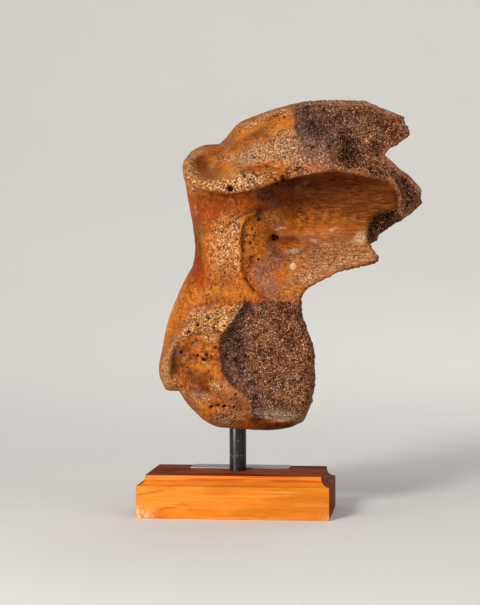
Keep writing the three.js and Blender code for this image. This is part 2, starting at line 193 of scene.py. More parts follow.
FOOT_BREAK = Outline(
    smooth((13.5, 216), (7.5, 201.5), (-4.5, 181), (-15.5, 167.5), (-17, 159), (-16, 139)),
    smooth((-14, 130.5), (-2, 117.5), (10.5, 107.5), (13.5, 90.5)),
    straight((23, 88.5), (60.5, 87), (106.5, 87), (106.5, 216)),
)
SIDE_HOLLOW = Outline(
    smooth((44.5, 296.5), (26.5, 290), (13.5, 285), (6.5, 277.5), (2.5, 251), (3, 235)),
    smooth((7.5, 220.5), (15, 210), (28.5, 199.5)),
    straight((153.5, 199.5), (153.5, 296.5)),
)
# Where the head's whole skin ends and its broken, porous part begins
HEAD_BREAK = Outline(
    smooth((56, 410), (54.5, 390), (54.5, 370), (57, 353), (64, 344), (70, 334), (80, 324)),
    straight((84, 300), (120, 262), (199, 262), (199, 410)),
)

# Lines of raised or sunken skin: points, half width, depth
RIDGE = Outline.spline(
    [(17, 285), (15.3, 284), (8, 280), (4.2, 272), (1.6, 265), (1.1, 257), (2.4, 248), (2.8, 240),
     (1.8, 231), (3.2, 226)]
)
SEAM = ((3.2, 226), (11.5, 218.5), (15, 212), (29, 201.5))
SLITS = (((6.5, 222.5), (10.5, 219)), ((12.5, 215.5), (16, 211.5)))
CRATER_ARC = ((13.6, 237), (11.8, 240.2), (12.6, 242.8), (15.7, 243.6))
LINES = (
    (RIDGE, 2.1, -1.3), (SEAM, 1.6, -0.8),
    (((16, 287), (3.8, 284), (-5, 278.5), (-9, 272)), 1.8, 1.9),
    (((-46, 318), (-43, 304), (-40, 288)), 1.8, -1.0),
    (((-42, 316), (-39.5, 302), (-37, 286)), 2.0, 1.2),
    (((-36, 168), (-47.5, 165), (-57, 157), (-60.5, 149), (-61.5, 134), (-62, 126)), 2.2, 2.2),
    (((-14, 200), (-28, 199), (-53, 186), (-67, 168), (-75, 148)), 3.2, 1.2),
    (SLITS[0], 1.5, 2.0), (SLITS[1], 1.4, 2.0), (CRATER_ARC, 1.4, 1.8),
    (((-6, 181), (-16.5, 169), (-17.5, 158), (-16.5, 140), (-3, 118), (9, 108)), 2.2, -1.0),
    (((22, 331), (48, 326), (72, 325)), 3.0, 1.6),
    (((24, 313), (34, 315), (44, 319), (60, 320)), 1.8, -0.8),
    (((-26, 329), (-6, 337.5), (8, 348), (20, 356)), 5.5, 3.0),
    (((38, 269), (56, 270)), 1.6, 0.8), (((36, 262), (50, 256), (60, 255)), 3.5, 1.8),
    (((18, 89.5), (32, 90.8), (46, 91), (59, 90)), 1.5, -1.1),
    (((14, 87), (30, 87.6), (46, 88), (61, 87)), 1.6, 1.6),
)

# Hollows and, where the depth is below 0, swellings of the front: centre, half width,
# half height, depth, turn in degrees
HEAD_DENTS = (
    ((30, 327), 34, 5, 2.4, -2), (DOME, 50, 20, -7, 12), (BROKEN_HOLLOW, 17, 13, 8, 20),
    ((68, 367), 14, 18, 3),
)
NECK_DENTS = (
    (VESSEL_PIT, 8, 11, 4.5), ((33.4, 260.8), 2.6, 2.2, 4.5), (SMALL_PIT, 4.6, 2.6, 3.6),
    ((-22, 262.5), 12, 30, 1.5),
)
FOOT_DENTS = (
    (BOSS, 28, 21, -9, -10), ((-23, 123), 26, 9, 2, 20), ((-39, 156), 16, 15, 3.5, -20),
    ((-55, 138), 7, 20, 2.5, -8), (RIM_TOP, 9, 24, -3.5, -62), (RIM_LEFT, 6, 24, -3),
)

# Edges and faces as (height, depth) pairs: where the backs of the broken ends wear away, and how
# far forward or back the column, wall, foot, head and neck reach
RIGHT_END_EDGE = ((250, 10), (282, -30), (315, -38), (344, -34), (368, -12), (390, 12))
SHELF_EDGE = ((211, -34), (238, -28), (259, -14), (297, -6))
COLUMN_FRONT = (
    (164, -20), (185, -42), (202, -46), (221, -44), (249, -42), (278, -44.5), (300, -50),
    (317, -56),
)
WALL_FRONT = (
    (178, -20), (197, -36), (211, -38), (225, -35), (240, -28), (254, -19), (273, -11), (292, -9),
    (310, -12), (323, -18),
)
FOOT_FRONT = (
    (78, -42), (107, -52), (135, -55), (168, -54), (187, -51), (202, -43), (216, -34),
)
HEAD_BACK = ((282, 46), (306, 53), (330, 52), (353, 46), (372, 36), (391, 22))
NECK_BACK = ((192, 44), (225, 33), (254, 31), (282, 36), (311, 46))
REAR_BACK = ((211, 34), (268, 36), (315, 44))


def ramp(a, b, value):
    """Rises smoothly from 0 at a to 1 at b."""
    t = np.clip((value - a) / (b - a), 0, 1)
    return t * t * t * (10 - 15 * t + 6 * t * t)


def along(points, at):
    """A smooth line through (at, value) pairs, level beyond its ends."""
    places, values = np.array(points, float).T
    slopes = np.zeros(len(places))
    slopes[1:-1] = (values[2:] - values[:-2]) / (places[2:] - places[:-2])
    at = np.clip(at, places[0], places[-1])
    i = np.clip(np.searchsorted(places, at) - 1, 0, len(places) - 2)
    span = places[i + 1] - places[i]
    t = (at - places[i]) / span
    start = (2 * t**3 - 3 * t**2 + 1) * values[i] + (t**3 - 2 * t**2 + t) * span * slopes[i]
    end = (3 * t**2 - 2 * t**3) * values[i + 1] + (t**3 - t**2) * span * slopes[i + 1]
    return start + end


def oval(x, z, centre, half_width, half_height, degrees=0.0):
    """Distance from a centre, in units of an oval's half sizes."""
    turn = math.radians(degrees)
    across = (x - centre[0]) * math.cos(turn) + (z - centre[1]) * math.sin(turn)
    up = (z - centre[1]) * math.cos(turn) - (x - centre[0]) * math.sin(turn)
    return np.hypot(across / half_width, up / half_height)


def hollow(x, z, centre, half_width, half_height, depth, degrees=0.0):
    return depth * np.exp(-(oval(x, z, centre, half_width, half_height, degrees) ** 2))


def dented(x, z, y, dents):
    """A front moved back by its hollows and forward by its swellings."""
    for dent in dents:
        y = y + hollow(x, z, *dent)
    return y


def from_line(x, z, points):
    """Distance to a line of straight runs."""
    return np.minimum.reduce([run_distance(x, z, *run) for run in zip(points, points[1:])])


def lined(x, z):
    """How far the raised and sunken lines move the skin back."""
    return sum(
        depth * np.exp(-((from_line(x, z, points) / width) ** 2)) for points, width, depth in LINES
    )


def join(a, b, blend):
    """The nearer of two distances, blended smoothly where they are alike."""
    share = np.clip(0.5 + 0.5 * (b - a) / blend, 0, 1)
    return b * (1 - share) + a * share - blend * share * (1 - share)


def plate(inset, y, front, back, front_round, back_round):
    """Signed distance to an outline's plate between two faces with rounded rims."""
    middle = (front + back) / 2
    half = (back - front) / 2
    rounding = np.minimum(np.where(y < middle, front_round, back_round), half - 0.5)
    side = rounding - inset
    face = np.abs(y - middle) - (half - rounding)
    outer = np.hypot(np.maximum(side, 0), np.maximum(face, 0))
    return outer + np.minimum(np.maximum(side, face), 0) - rounding


def waves(x, y, z, size):
    """Slow uneven swells from about -1 to 1."""
    k = 2 * math.pi / size
    first = np.sin(k * (x + 0.6 * y) + 1.3 + 1.1 * np.sin(0.7 * k * z))
    second = np.sin(k * (0.8 * y - 0.5 * z) + 0.4)
    third = np.sin(k * (0.9 * z + 0.5 * x) + 2.1 + 1.2 * np.sin(0.8 * k * y))
    return (first * second + third) / 2


def worn_back(y, edge, slope, rounding=10):
    """How far an outline has worn away behind a worn edge, and a little before it."""
    away = np.hypot(y - edge, rounding) - rounding
    return slope * away * np.where(y < edge, 0.3, 1)


def head_front(x, z):
    lip = -60 + 4 * ramp(97, 163, x)
    up = z - (315.5 - 5 * ramp(11, -22, x))
    lean = 0.78 + ramp(87, -45, x)
    y = lip + lean * (np.hypot(np.maximum(up, 0), 5) - 5) + 0.3 * np.minimum(up, 0)
    y = y + 7.5 * ramp(1.15, 0.4, oval(x, z, DISH, 22, 16, 12))
    y = dented(x, z, y, HEAD_DENTS)
    return y + 5 * ramp(106, 163, x)


def neck_front(x, z):
    roundness = np.clip((-11 - x) / 38, 0, 1.4) ** 2
    column = along(COLUMN_FRONT, z) + 8 * roundness * ramp(154, 230, z)
    share = ramp(-6, 76, x)
    y = column * (1 - share) + along(WALL_FRONT, z) * share
    y = y + 4.2 * ramp(-2.5, 5, SIDE_HOLLOW(x, z)) * ramp(64, 16, x)
    return dented(x, z, y, NECK_DENTS)


def foot_front(x, z):
    y = along(FOOT_FRONT, z)
    y = y + 5 * ramp(-6, 8, FOOT_HOLLOW(x, z)) * ramp(23, -12, x) * ramp(101, 145, z)
    y = dented(x, z, y, FOOT_DENTS)
    scoop = hollow(x, z, (1, 152), 15, 34, 7) + hollow(x, z, (47, 168), 22, 28, 5)
    swell = hollow(x, z, (35, 107), 50, 14, -4)
    depth = 2.5 + scoop + swell - 2.5 * ramp(-2, 59, x)
    return y + depth * ramp(-2, 4.5, FOOT_BREAK(x, z))


def picture(points):
    """The places on the upright plane through the rod that an eye in front sees the points at."""
    x, y, z = points.T
    shrink = EYE[1] / (EYE[1] - y)
    return EYE[0] + (x - EYE[0]) * shrink, EYE[2] + (z - EYE[2]) * shrink


def bone(points):
    """Signed distance to the whole bone, negative inside."""
    u, w = picture(points)
    x, y, z = points.T
    lump = waves(x, y, z, 58)
    chips = waves(x, y, z, 70)
    head_worn = worn_back(y, along(RIGHT_END_EDGE, w), 0.3 + 0.12 * chips) * ramp(-62, -35, y)
    head_inset = HEAD(u, w) - ramp(76, 146, u) * head_worn
    foot_worn = worn_back(y, -22 + 10 * lump, 0.16 + 0.08 * lump)
    foot_inset = FOOT(u, w) - ramp(23, 66, u) * foot_worn
    foot_inset = foot_inset - ramp(130, 88, w) * worn_back(y, -12, 0.35)

    back = along(HEAD_BACK, w) - 10 * ramp(87, 173, u) + 1.2 * lump
    rounding = 4.5 + 20.5 * ramp(317, 374, w) * ramp(154, 40, u)
    fine = lined(u, w)
    front = join(head_front(u, w) + fine, back - 9, 6)
    head = plate(head_inset, y, front, back, rounding, 12 + 22 * ramp(135, 59, u))

    worn = ramp(59, 87, u) * worn_back(y, along(SHELF_EDGE, w), 0.5)
    front = neck_front(u, w) + fine + 26 * ramp(-1, 16, head_inset) + 14 * ramp(2, 16, foot_inset)
    back = along(NECK_BACK, w) - 26 * ramp(49, 92, u) + hollow(u, w, (11, 263), 22, 60, -5)
    rounding = 3 + 20 * ramp(49, -22, u)
    neck = plate(NECK(u, w) - worn, y, front, back, rounding, 3 + 35 * ramp(78, 21, u))

    worn = worn_back(y, 18 + 8 * lump, 0.5)
    rear = plate(REAR(u, w) - worn, y, 2 + 4 * lump, along(REAR_BACK, w) + 2 * lump, 6, 16)

    back = 49 - 4 * ramp(173, 202, w) + hollow(u, w, (-12, 135), 40, 30, 2)
    rounding = 7 + ramp(59, 7, u) * (8 + 10 * ramp(133, 95, w))
    foot = plate(foot_inset, y, foot_front(u, w) + fine, back, rounding, 14 + 22 * ramp(68, 30, u))

    whole = join(join(head, join(neck, rear, 5), 4), foot, 6)
    hole = np.maximum(np.hypot(x, y) - ROD_HOLE_RADIUS, z - ROD_HOLE_TOP)
    return np.maximum(whole, -hole)


def steepness(points, probe=0.4):
    """The bone's distance at each point, and the way and rate that it grows."""
    here = bone(points)
    slope = np.stack([(bone(points + probe * axis) - here) / probe for axis in np.eye(3)], axis=1)
    return here, slope


def skin_way(points):
    """The way the skin at each point faces, and 1 where that is forwards, 0 where backwards."""
    slope = steepness(points)[1]
    normal = slope / np.maximum(np.linalg.norm(slope, axis=1), 1e-6)[:, None]
    return normal, ramp(0.35, -0.25, normal[:, 1])


def settle(points, rounds=4, longest=1.5):
    """Moves points onto the bone's surface along the steepest way."""
    for _ in range(rounds):
        here, slope = steepness(points)
        move = np.clip(here / np.maximum((slope**2).sum(1), 0.25), -longest, longest)
        points = points - slope * move[:, None]
    return points


# Repeatable noise on arrays of places, in millimetres

def scatter(cell, salt):
    """A repeatable number from 0 to 1 for each whole-numbered cell."""
    mix = cell[..., 0] * 73856093 ^ cell[..., 1] * 19349663 ^ cell[..., 2] * 83492791
    mix = (mix ^ (salt + SEED) * 2654435761) & 0xFFFFFFFF
    mix = ((mix ^ (mix >> 15)) * 739139141) & 0xFFFFFFFF
    mix = ((mix ^ (mix >> 13)) * 1274126177) & 0xFFFFFFFF
    return ((mix ^ (mix >> 16)) & 0xFFFF) / 0xFFFF


def noise(points, size, salt=0):
    """Smooth noise from 0 to 1 with lumps about as wide as size."""
    places = points / size
    low = np.floor(places).astype(np.int64)
    part = places - low
    part = part * part * (3 - 2 * part)
    total = np.zeros(len(points))
    for corner in np.ndindex(2, 2, 2):
        weight = np.prod(np.where(np.array(corner) == 1, part, 1 - part), axis=1)
        total += weight * scatter(low + corner, salt)
    return total


def rough_noise(points, size, salt=0, layers=3):
    total = sum(noise(points, size / 2**n, salt + n) / 2**n for n in range(layers))
    return total / sum(1 / 2**n for n in range(layers))


def lumps(points, size, salt, layers=3):
    """Rough noise as heights from -0.5 to 0.5."""
    return rough_noise(points, size, salt, layers) - 0.5


def from_wall(points, size, salt):
    """How much nearer the nearest of scattered centres is than the next, in sizes."""
    places = points / size
    low = np.floor(places).astype(np.int64)
    first = np.full(len(points), 9.0)
    second = np.full(len(points), 9.0)
    for corner in np.ndindex(3, 3, 3):
        cell = low + np.array(corner) - 1
        centre = cell + np.stack([scatter(cell, salt + 7 * axis) for axis in range(3)], axis=1)
        away = np.linalg.norm(centre - places, axis=1)
        second = np.minimum(second, np.maximum(first, away))
        first = np.minimum(first, away)
    return second - first


# Small features of the bone's skin, placed on the upright plane through the rod

# Vessel holes: x, z, radius
PITS = (
    (-7, 308.2, 3.1), (7, 320.3, 1.7), (44.8, 375.4, 1.3), (43.8, 315.8, 2.2), (38, 312, 1.5),
    (-28, 186, 1.9), (-38.8, 179.5, 2.3), (-47.6, 171.2, 2.1), (-18.7, 181, 1.2),
    (-21.5, 156.5, 1.4), (-38.3, 149.4, 1.3), (-30.1, 150, 1.6), (-25.2, 148.3, 0.9),
    (-32.8, 145.6, 1.8), (-19.3, 101, 1.8), (-12.7, 100.4, 1.8), (-25.7, 99.3, 1.6),
    (19.9, 240.6, 1.3), (6, 272, 1), (8.5, 262.7, 1), (14.4, 269.5, 1.1), (17, 262, 1),
    (12.7, 256, 1.1), (6, 249, 1), (38.2, 261.2, 1.5), (21, 278, 1.2), (-2.5, 269.5, 0.9),
    (-1.2, 260, 1), (-2.5, 231.3, 1), (34.6, 260.9, 2.4), (36, 317.5, 1.4), (-53.5, 152, 1.4),
    (-39.4, 163, 1), (-6.5, 107, 1), (-4, 99, 1),
)
# Creases of the skin, darkened with painted shade: points, half width, strength
CREASES = (
    (((-9, 272), (-6.7, 274.5), (-0.8, 279), (6, 283), (15, 285.5)), 1.7, 0.8),
    (SLITS[0], 1.7, 0.9), (SLITS[1], 1.5, 0.9), (CRATER_ARC, 1.7, 1.0),
    (((-52, 193), (-40, 196.5), (-28, 198.5), (-8, 200)), 2.2, 0.35),
    (((7, 276), (5, 268), (3.9, 257), (5, 247)), 1.6, 0.5),
    (((-43, 154), (-36, 152), (-28, 153.5), (-20, 152.5)), 1.3, 0.5),
    (((-36, 146), (-28, 147), (-18, 145.5)), 1.2, 0.4),
    (((10, 327.5), (22, 328), (38, 326)), 1.4, 0.5),
    (((-44, 118), (-36, 115), (-30, 117)), 3.0, 0.5),
)
# Vessel holes of the back
BACK_PITS = (
    (-10, 302, 1.9), (-5, 298, 1.2), (24, 336, 1.6), (12, 121, 1.7), (17, 124, 1.1), (28, 252, 1.8),
    (-40, 131, 1.3), (54, 352, 1.7), (-2, 184, 1.1),
)
# Where a hole begins and where it is deepest, and how deep that is, in radii
PIT_RIM = 1.25
PIT_FLOOR = 0.55
PIT_DEPTH = 1.9
# Finer faces lie this far round each hole and each crease
PIT_MARGIN = 0.6
CREASE_REACH = 1.8
# Smaller holes strewn in ovals: x, z, half width, half height, how many
STREWN = (
    (-36, 150, 20, 20, 12), (-30, 178, 20, 8, 10), (-10, 94, 16, 8, 16), (3, 106, 8, 8, 6),
    (4, 312, 26, 5, 12), (45, 323, 30, 4, 22), (12, 262, 8, 20, 10), (-8, 250, 14, 24, 12),
    (40, 360, 24, 12, 10),
)
STREWN_RADII = (0.5, 0.95)
# Ovals of colour by tone: x, z, half width, half height, strength, turn in degrees
PATCHES = {
    "orange": (
        (38, 367, 17, 5.5, 1, 8), (6, 362, 16, 5, 0.8, 34), (40, 326, 34, 3.4, 0.9, 3),
        (-10, 322, 9, 7, 0.9), (-32, 158, 15, 3.5, 1), (-33, 138, 17, 7, 0.9, -6),
        (-34, 98, 8, 10, 0.9, 30), (-6, 115, 14, 4, 0.9, -12), (60, 322.5, 16, 6, 1, -12),
        (11, 260, 8, 22, 0.9), (-30, 206, 42, 9, 0.8, 2), (-35, 148, 24, 20, 0.9),
        (2, 106, 12, 11, 0.9), (-14, 336, 18, 9, 0.9, 28), (72, 280, 42, 9, 0.9),
        (-64, 180, 6, 24, 0.7, -20), (54, 228, 12, 8, 0.7), (-36, 128, 22, 12, 0.7),
    ),
    # Some brown is painted shade: in the head's dish at (-34, 331), on the bowl's right part at
    # (132, 287) and along the neck's left flank at (-49, 262)
    "brown": (
        (-42, 130, 11, 6, 0.9), (-36, 117, 9, 5, 0.8, 10), (-34, 331, 7, 10, 1, 30),
        (-12, 344, 16, 3, 0.7, 22), (132, 287, 26, 24, 0.9), (-49, 262, 4, 40, 0.6),
        (20, 284, 6, 8, 0.9), (20, 359, 13, 4, 0.6, 20), (-55, 153, 6, 13, 0.9, -25),
        (-40, 115, 10, 4.5, 0.9), (-36, 280, 4, 22, 0.6), (-67, 138, 5, 24, 0.6, -8),
        (100, 252, 50, 12, 0.35, 8), (-47, 323, 4, 12, 0.6, 10), (-36, 250, 6, 24, 0.5, 4),
        (-36, 133, 14, 6, 0.45), (48, 216, 12, 9, 0.35), (90, 300, 60, 10, 0.8),
        (30, 262, 10, 12, 0.5),
    ),
    "tan": (
        (-12, 256, 14, 27, 0.95, -4), (-37, 108, 13, 8, 0.5, 10), (-7, 92, 16, 9, 0.8),
        (92, 246, 50, 12, 0.8, 8), (62, 221, 15, 7, 0.6), (8, 310, 24, 5.5, 1, 8),
        (20, 317, 20, 5, 0.9, 10), (-22, 182, 26, 9, 0.8, -10), (-60, 200, 5, 16, 0.5, -25),
        (47, 379, 10, 5, 0.9), (34, 283, 9, 6, 0.5), (52, 212, 14, 8, 0.6),
    ),
    # The thin pale streaks at (-42.5, 308) and (-40, 288) along the neck's left edge, and the spot
    # at (-26, 166), are painted highlights
    "pale": (
        (24, 341, 28, 9, 1, 17), (44, 345, 17, 13, 1, 10), (96, 388, 44, 3.5, 0.7),
        (40, 95, 27, 6, 1, -4), (58, 334, 18, 6, 0.7), (-42.5, 308, 1.4, 6, 0.9, 28),
        (10, 317, 12, 6, 0.7), (-24, 311, 22, 4, 0.5, -4), (-13, 88, 10, 6, 0.7),
        (-40, 288, 1.2, 5, 0.6), (22, 373, 24, 3, 0.7, 24), (-6, 336, 6, 3, 0.8, 30),
        (-20, 119, 6, 3, 0.5, -10), (-26, 166, 6, 4, 0.9), (48, 354, 12, 7, 0.8, 20),
        (112, 241, 34, 4, 0.6, 10), (76, 229, 24, 7, 0.6, 16), (-2, 272, 3.4, 7, 0.7, -12),
        (-24, 188, 22, 4.5, 0.5, -14),
    ),
    "mauve": (
        (24, 227, 11, 12, 1, -30), (31, 213, 8, 12, 1, 20), (37, 243, 6, 11, 1, 10),
        (53, 246, 11, 4, 0.9, 12), (88, 249, 36, 9, 0.5, 8), (72, 343, 24, 13, 1),
        (33, 293, 8, 4, 0.7), (18, 309, 10, 3.5, 0.5), (-37, 111, 10, 6, 0.9, -10),
        (10, 118, 26, 26, 0.5), (80, 262, 30, 8, 0.5), (38, 273.5, 6, 3.5, 0.9),
        (42, 309, 9, 6, 0.5), (31, 254.5, 3, 5, 0.8), (34, 242, 8, 6, 0.9),
        (-40, 187, 22, 3.5, 0.6, 38), (-65, 150, 3, 26, 0.4, -10), (17, 96, 8, 12, 0.5),
        (24, 304, 9, 8, 0.4), (-7, 350, 11, 2.5, 0.8, 53), (12, 356, 10, 2, 0.5, 25),
    ),
    "stain": (
        (63, 372, 17, 24, 1), (76, 366, 20, 18, 1), (62, 352, 14, 12, 0.6), (98, 372, 20, 12, 0.45),
        (-4, 152, 13, 32, 1, -4), (10, 112, 12, 12, 0.8, 30), (18, 100, 12, 10, 0.6),
        (8, 196, 10, 8, 0.7),
    ),
    # Painted shade: darkening under the head's overhang, in the bowl, hollows, holes and creases
    # and on undersides, with some darker colour
    "painted_shade": (
        (80, 314, 72, 10, 1, 1), (80, 299, 78, 20, 0.55, 2), (30, 303, 16, 9, 0.85),
        (-34, 333, 6, 9, 0.3, 20), (-20, 300, 30, 5, 0.35), (45, 258.4, 12, 4.5, 0.9, -6),
        (38, 247, 6, 8, 0.5, 20), (20, 283.5, 4, 6, 0.7), (105, 341, 13, 17, 1, 15),
        (17, 87, 7, 4, 1), (2, 150, 5, 20, 0.6), (5, 190, 8, 12, 0.5, -20), (49, 165, 7, 9, 0.7),
        (73, 366, 11, 8, 0.6), (160, 302, 11, 26, 1, 25), (-61, 148, 4, 16, 0.8, -10),
        (60, 192, 22, 9, 0.35), (44, 82, 30, 5, 0.8), (128, 344, 9, 7, 0.5), (138, 277, 12, 9, 1),
        (22, 281, 4, 4, 0.4), (-60, 136, 3, 7, 0.6), (158, 296, 12, 16, 1, 20),
    ),
    # Pale buff spots, and painted highlights on the ledge's lip and on small lit edges and streaks
    "cream_and_highlight": (
        (40, 89.2, 18, 1.1, 0.5, -4), (117, 261, 6.5, 5.5, 0.5, 15), (36, 95, 18, 3, 0.2, -4),
        (52.5, 234.5, 3, 4, 0.8), (53, 248, 7, 2, 0.35, 10), (64, 313, 4, 2.6, 0.35),
        (58, 308.5, 2.4, 2.4, 0.3), (72, 259, 3, 1.6, 0.35), (90, 268.5, 3.4, 1.4, 0.35, 20),
        (41, 269.3, 5, 0.9, 0.5), (83, 256, 3.4, 1.4, 0.3),
    ),
    "red": (
        (-24, 290, 30, 11, 0.55), (8, 295, 16, 8, 0.45, -25), (-38, 231, 7, 18, 0.85, 12),
        (-45, 285, 4, 22, 0.4, 4), (-17, 141, 4, 15, 0.8), (44, 83, 26, 4.5, 0.4),
        (-62, 140, 4, 17, 0.8, -6), (4, 97, 9, 14, 0.6), (-32, 118, 8, 8, 0.35),
        (14, 326, 12, 3, 0.5, 18), (28, 170, 12, 9, 0.6), (150, 366, 12, 14, 0.7),
        (20, 196, 22, 4, 0.5), (-53, 160, 8, 5, 0.7, 40),
    ),
    "blue": (
        (-18, 333, 4, 3, 0.5, 20), (-25, 326.5, 3.4, 3, 0.55), (-15.2, 320.7, 2, 1.5, 0.9),
        (-53.5, 150.5, 3, 4, 0.6), (-39.4, 160, 1.8, 5.5, 0.5), (-25.5, 99.3, 2.4, 2, 0.6),
        (-7.2, 108, 2.4, 2.2, 0.6), (8, 263.5, 1.6, 2.2, 0.6), (7.2, 247.6, 1.8, 2, 0.6),
    ),
    "green": (
        (0.3, 344.9, 3, 2.5, 0.8), (-63, 133.5, 2.6, 4, 0.9), (50, 384, 7, 3, 0.6),
        (-36, 266, 2, 6, 0.7), (22, 281, 3, 3, 0.8), (14, 87, 5, 3, 0.6),
    ),
    # Painted highlights on lit edges, rims and the foot's boss
    "painted_highlight": (
        (-66, 180, 3, 26, 0.35, -20), (70, 266, 30, 3, 0.4, 4), (-20, 208, 24, 5, 0.2),
        (-8, 327, 5, 4, 0.5), (-34, 343, 5, 3, 0.4, 30), (10, 361, 8, 2.5, 0.5, 30),
        (44, 369, 9, 3, 0.5, 10), (-32, 140, 12, 5, 0.45, 10), (-22, 133, 6, 3, 0.4),
        (-31, 153, 12, 4, 0.6),
    ),
    # The sandy spot at (-26, 167) is a painted highlight
    "sandy": (
        (0, 243, 3.2, 22, 0.9), (-26, 313, 22, 4, 0.9, -4), (-47, 326, 4, 12, 0.4, 10),
        (6, 316, 16, 5, 0.8, 12), (16, 368, 12, 4, 0.6, 28), (42, 363, 14, 5, 0.5),
        (-34, 107, 12, 5, 0.3, -20), (-18, 120, 9, 5, 0.8, -10), (-26, 167, 4, 3.5, 1, 30),
        (-32, 144, 3, 1.4, 0.9), (-28, 184, 16, 5, 0.6, -14), (36, 94, 28, 4, 0.6),
        (20, 346, 26, 8, 0.4, 16),
    ),
    "rust": (
        (-36, 146, 26, 18, 1), (-36, 124, 24, 11, 1, -20), (2, 104, 10, 14, 0.7),
        (-50, 104, 7, 26, 0.4, 40), (44, 82, 28, 5, 1), (-24, 294, 30, 8, 0.5),
        (-40, 232, 7, 18, 0.5, 10), (80, 284, 50, 14, 0.7), (-62, 142, 4.5, 18, 0.8, -6),
        (14, 262, 9, 20, 0.4), (-39, 256, 5, 26, 1, 2), (-30, 210, 34, 14, 0.4),
        (-34, 134, 16, 10, 1),
    ),
}
# Tones that lie in clouds over the back
BACK_TONES = ("orange", "tan", "brown", "red", "mauve")


def broken_share(points):
    """1 where the bone is broken and porous, 0 where its skin is whole."""
    u, w = picture(points)
    y = points[:, 1]
    ragged = 5 * lumps(points, 12, 3)
    chipped = 12 * lumps(points, 5.5, 43, 2)
    in_front = ramp(16, 2, y)
    head = ramp(-1, 1, HEAD_BREAK(u, w) + 0.6 * ragged) * ramp(1, 2.5, HEAD(u, w)) * in_front
    head_back = ramp(-1, 1, u - 93 + 3 * ragged) * ramp(-1, 1, w - 262 + ragged) * (1 - in_front)
    foot = ramp(-1, 1, FOOT_BREAK(u, w) + 0.4 * ragged + 0.2 * chipped) * ramp(-12, -18, y)
    foot = foot * ramp(1, -1, w - 200.5 + 1.5 * ragged + chipped)
    foot_side = ramp(-1, 1, u - 59 + ragged) * ramp(-50, -44, y) * ramp(1, -1, w - 206 + ragged)
    behind = y - neck_front(u, w)
    depth_left = along(NECK_BACK, w) - 6 - y
    wall = ramp(2, 4, behind + 0.3 * ragged) * ramp(56, 66, u) * ramp(-2, 4, depth_left)
    rear = ramp(-1, 1, u - 98 + 2 * ragged) * ramp(0, 8, y)
    beside_neck = np.maximum(wall, rear) * ramp(196, 204, w)
    net = ramp(1.15, 0.85, oval(u, w, *NET)) * in_front * ramp(0, 1.5, HEAD(u, w))
    return np.maximum.reduce([head, head_back, foot, foot_side, beside_neck, net])


def coarse_share(points):
    """0 where the pores of a broken face are fine, 1 where they are wide and deep."""
    u, w = picture(points)
    inset = HEAD(u, w)
    fine = np.maximum.reduce([
        0.8 * ramp(1.5, 0.8, oval(u, w, (66, 340), 30, 15, -12)),
        0.5 * ramp(1.3, 0.7, oval(u, w, (40, 92), 30, 5)),
        0.4 * ramp(1.3, 0.6, oval(u, w, (-8, 132), 9, 26, 20)),
        ramp(4.5, 2.5, inset) * ramp(345, 330, w) * ramp(290, 300, w),
        0.8 * ramp(6, 2, inset) * ramp(370, 380, w),
    ])
    fine = fine * ramp(0.8, 1.1, oval(u, w, *NET))
    return 1 - fine * ramp(10, -10, points[:, 1])


def pit_list():
    """The named vessel holes and the smaller strewn ones."""
    random = np.random.default_rng(SEED)
    found = list(PITS)
    for x, z, half_width, half_height, count in STREWN:
        for _ in range(count):
            turn = random.uniform(0, 2 * math.pi)
            reach = math.sqrt(random.uniform(0, 1))
            across = x + half_width * reach * math.cos(turn)
            up = z + half_height * reach * math.sin(turn)
            found.append((across, up, random.uniform(*STREWN_RADII)))
    return found


def two_sided_pits(points, facing, pits):
    """The share and depth of the holes in front, where facing is 1, and of those at the back."""
    front = pit_depth(points, facing, pits)
    back = pit_depth(points, ramp(0.3, 0.0, facing), BACK_PITS)
    return [np.maximum(in_front, behind) for in_front, behind in zip(front, back)]


def pit_depth(points, facing, pits):
    """How deep each point lies in a vessel hole, from 0 to 1, and that depth in millimetres."""
    u, w = picture(points)
    share = np.zeros(len(points))
    depth = np.zeros(len(points))
    for x, z, radius in pits:
        near = np.nonzero(np.abs(u - x) + np.abs(w - z) < 3.5 * radius)[0]
        away = np.hypot(u[near] - x, w[near] - z)
        inside = ramp(PIT_RIM * radius, PIT_FLOOR * radius, away) * facing[near]
        share[near] = np.maximum(share[near], inside)
        depth[near] = np.maximum(depth[near], PIT_DEPTH * radius * inside)
    return share, depth


